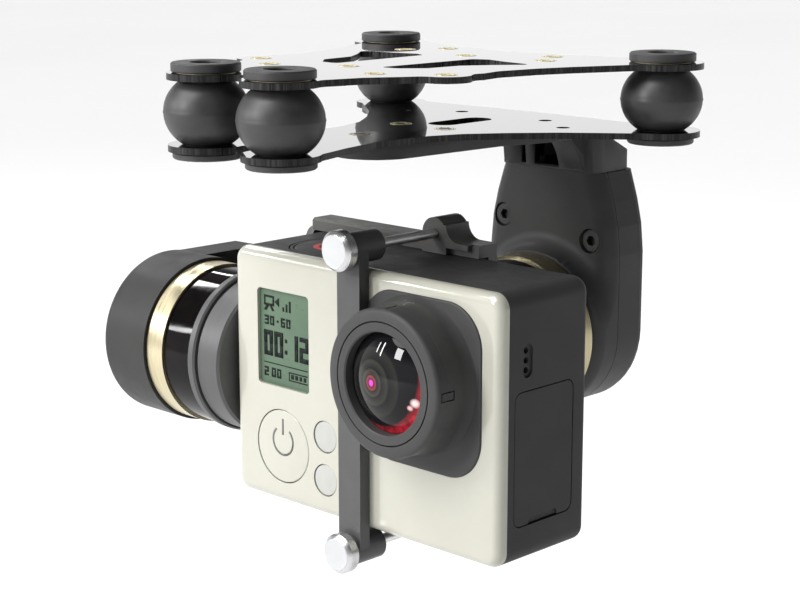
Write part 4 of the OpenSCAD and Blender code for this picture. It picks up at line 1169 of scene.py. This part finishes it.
def area_light(name, target_mm, way, distance, width, height, radiance):
    """A rectangle of light seen from the target along a direction, with a given brightness."""
    data = bpy.data.lights.new(name, "AREA")
    data.shape = "RECTANGLE"
    data.size, data.size_y = width, height
    data.energy = radiance * math.pi * width * height
    obj = added(name, data)
    way = Vector(way).normalized()
    obj.location = Vector(target_mm) * MM + way * distance
    aim(obj, -way)


def world_light():
    """A sky that is brightest near the horizon and on the left, like a lit studio wall."""
    world = bpy.data.worlds.new("studio")
    bpy.context.scene.world = world
    world.use_nodes = True
    tree = world.node_tree
    back = tree.nodes["Background"]
    coords = tree.nodes.new("ShaderNodeTexCoord")
    split = tree.nodes.new("ShaderNodeSeparateXYZ")
    tree.links.new(coords.outputs["Generated"], split.inputs["Vector"])

    def ramp(axis, stops):
        """Grey levels along one axis of the view direction."""
        node = tree.nodes.new("ShaderNodeValToRGB")
        tree.links.new(split.outputs[axis], node.inputs["Fac"])
        fill_ramp(node, [(at, grey(level)) for at, level in stops])
        return node.outputs["Color"]

    height = ramp("Z", [(0.0, 1.0), (0.20, 0.95), (0.34, 0.18), (1.0, 0.14)])
    side = ramp("X", [(0.0, 0.74), (0.15, 0.70), (0.7, 0.17)])
    both = tree.nodes.new("ShaderNodeMix")
    both.data_type, both.blend_type = "RGBA", "MULTIPLY"
    both.inputs["Factor"].default_value = 1
    tree.links.new(height, both.inputs[6])
    tree.links.new(side, both.inputs[7])
    tree.links.new(both.outputs[2], back.inputs["Color"])
    back.inputs["Strength"].default_value = 1.38


def lights():
    """A broad key light, the sky, and narrow windows that show in the bell and the lens."""
    world_light()
    sun = bpy.data.lights.new("key", "SUN")
    sun.energy = 3.4
    sun.angle = math.radians(45)
    aim(added("key", sun), (0.28, 0.58, -0.77))
    bell, lens = (-28, -14, -49), (24, -31, -43)
    area_light("streak_high", bell, (-0.76, 0.107, 0.64), 0.7, 0.14, 0.03, 42)
    area_light("streak_back", bell, (-0.76, 0.447, 0.471), 0.7, 0.10, 0.022, 28)
    area_light("window_wide", lens, (-0.315, -0.88, 0.363), 0.8, 0.13, 0.16, 46)
    area_light("window_left", lens, (-0.70, -0.66, 0.30), 0.8, 0.025, 0.18, 60)
    area_light("window_far_left", lens, (-0.78, -0.56, 0.28), 0.8, 0.02, 0.13, 50)


def camera():
    """Looks down slightly from the front right."""
    data = bpy.data.cameras.new("camera")
    cam = added("camera", data)
    turn, tilt = math.radians(44.28), math.radians(12.29)
    cam.location = (0.2064, -0.21481, 0.02587)
    aim(cam, (-math.sin(turn) * math.cos(tilt), math.cos(turn) * math.cos(tilt), -math.sin(tilt)))
    data.sensor_width = 36
    data.lens = 83.98
    data.clip_start = 0.01
    bpy.context.scene.camera = cam


stage()
lights()
camera()
bpy.context.scene.view_settings.view_transform = "Standard"
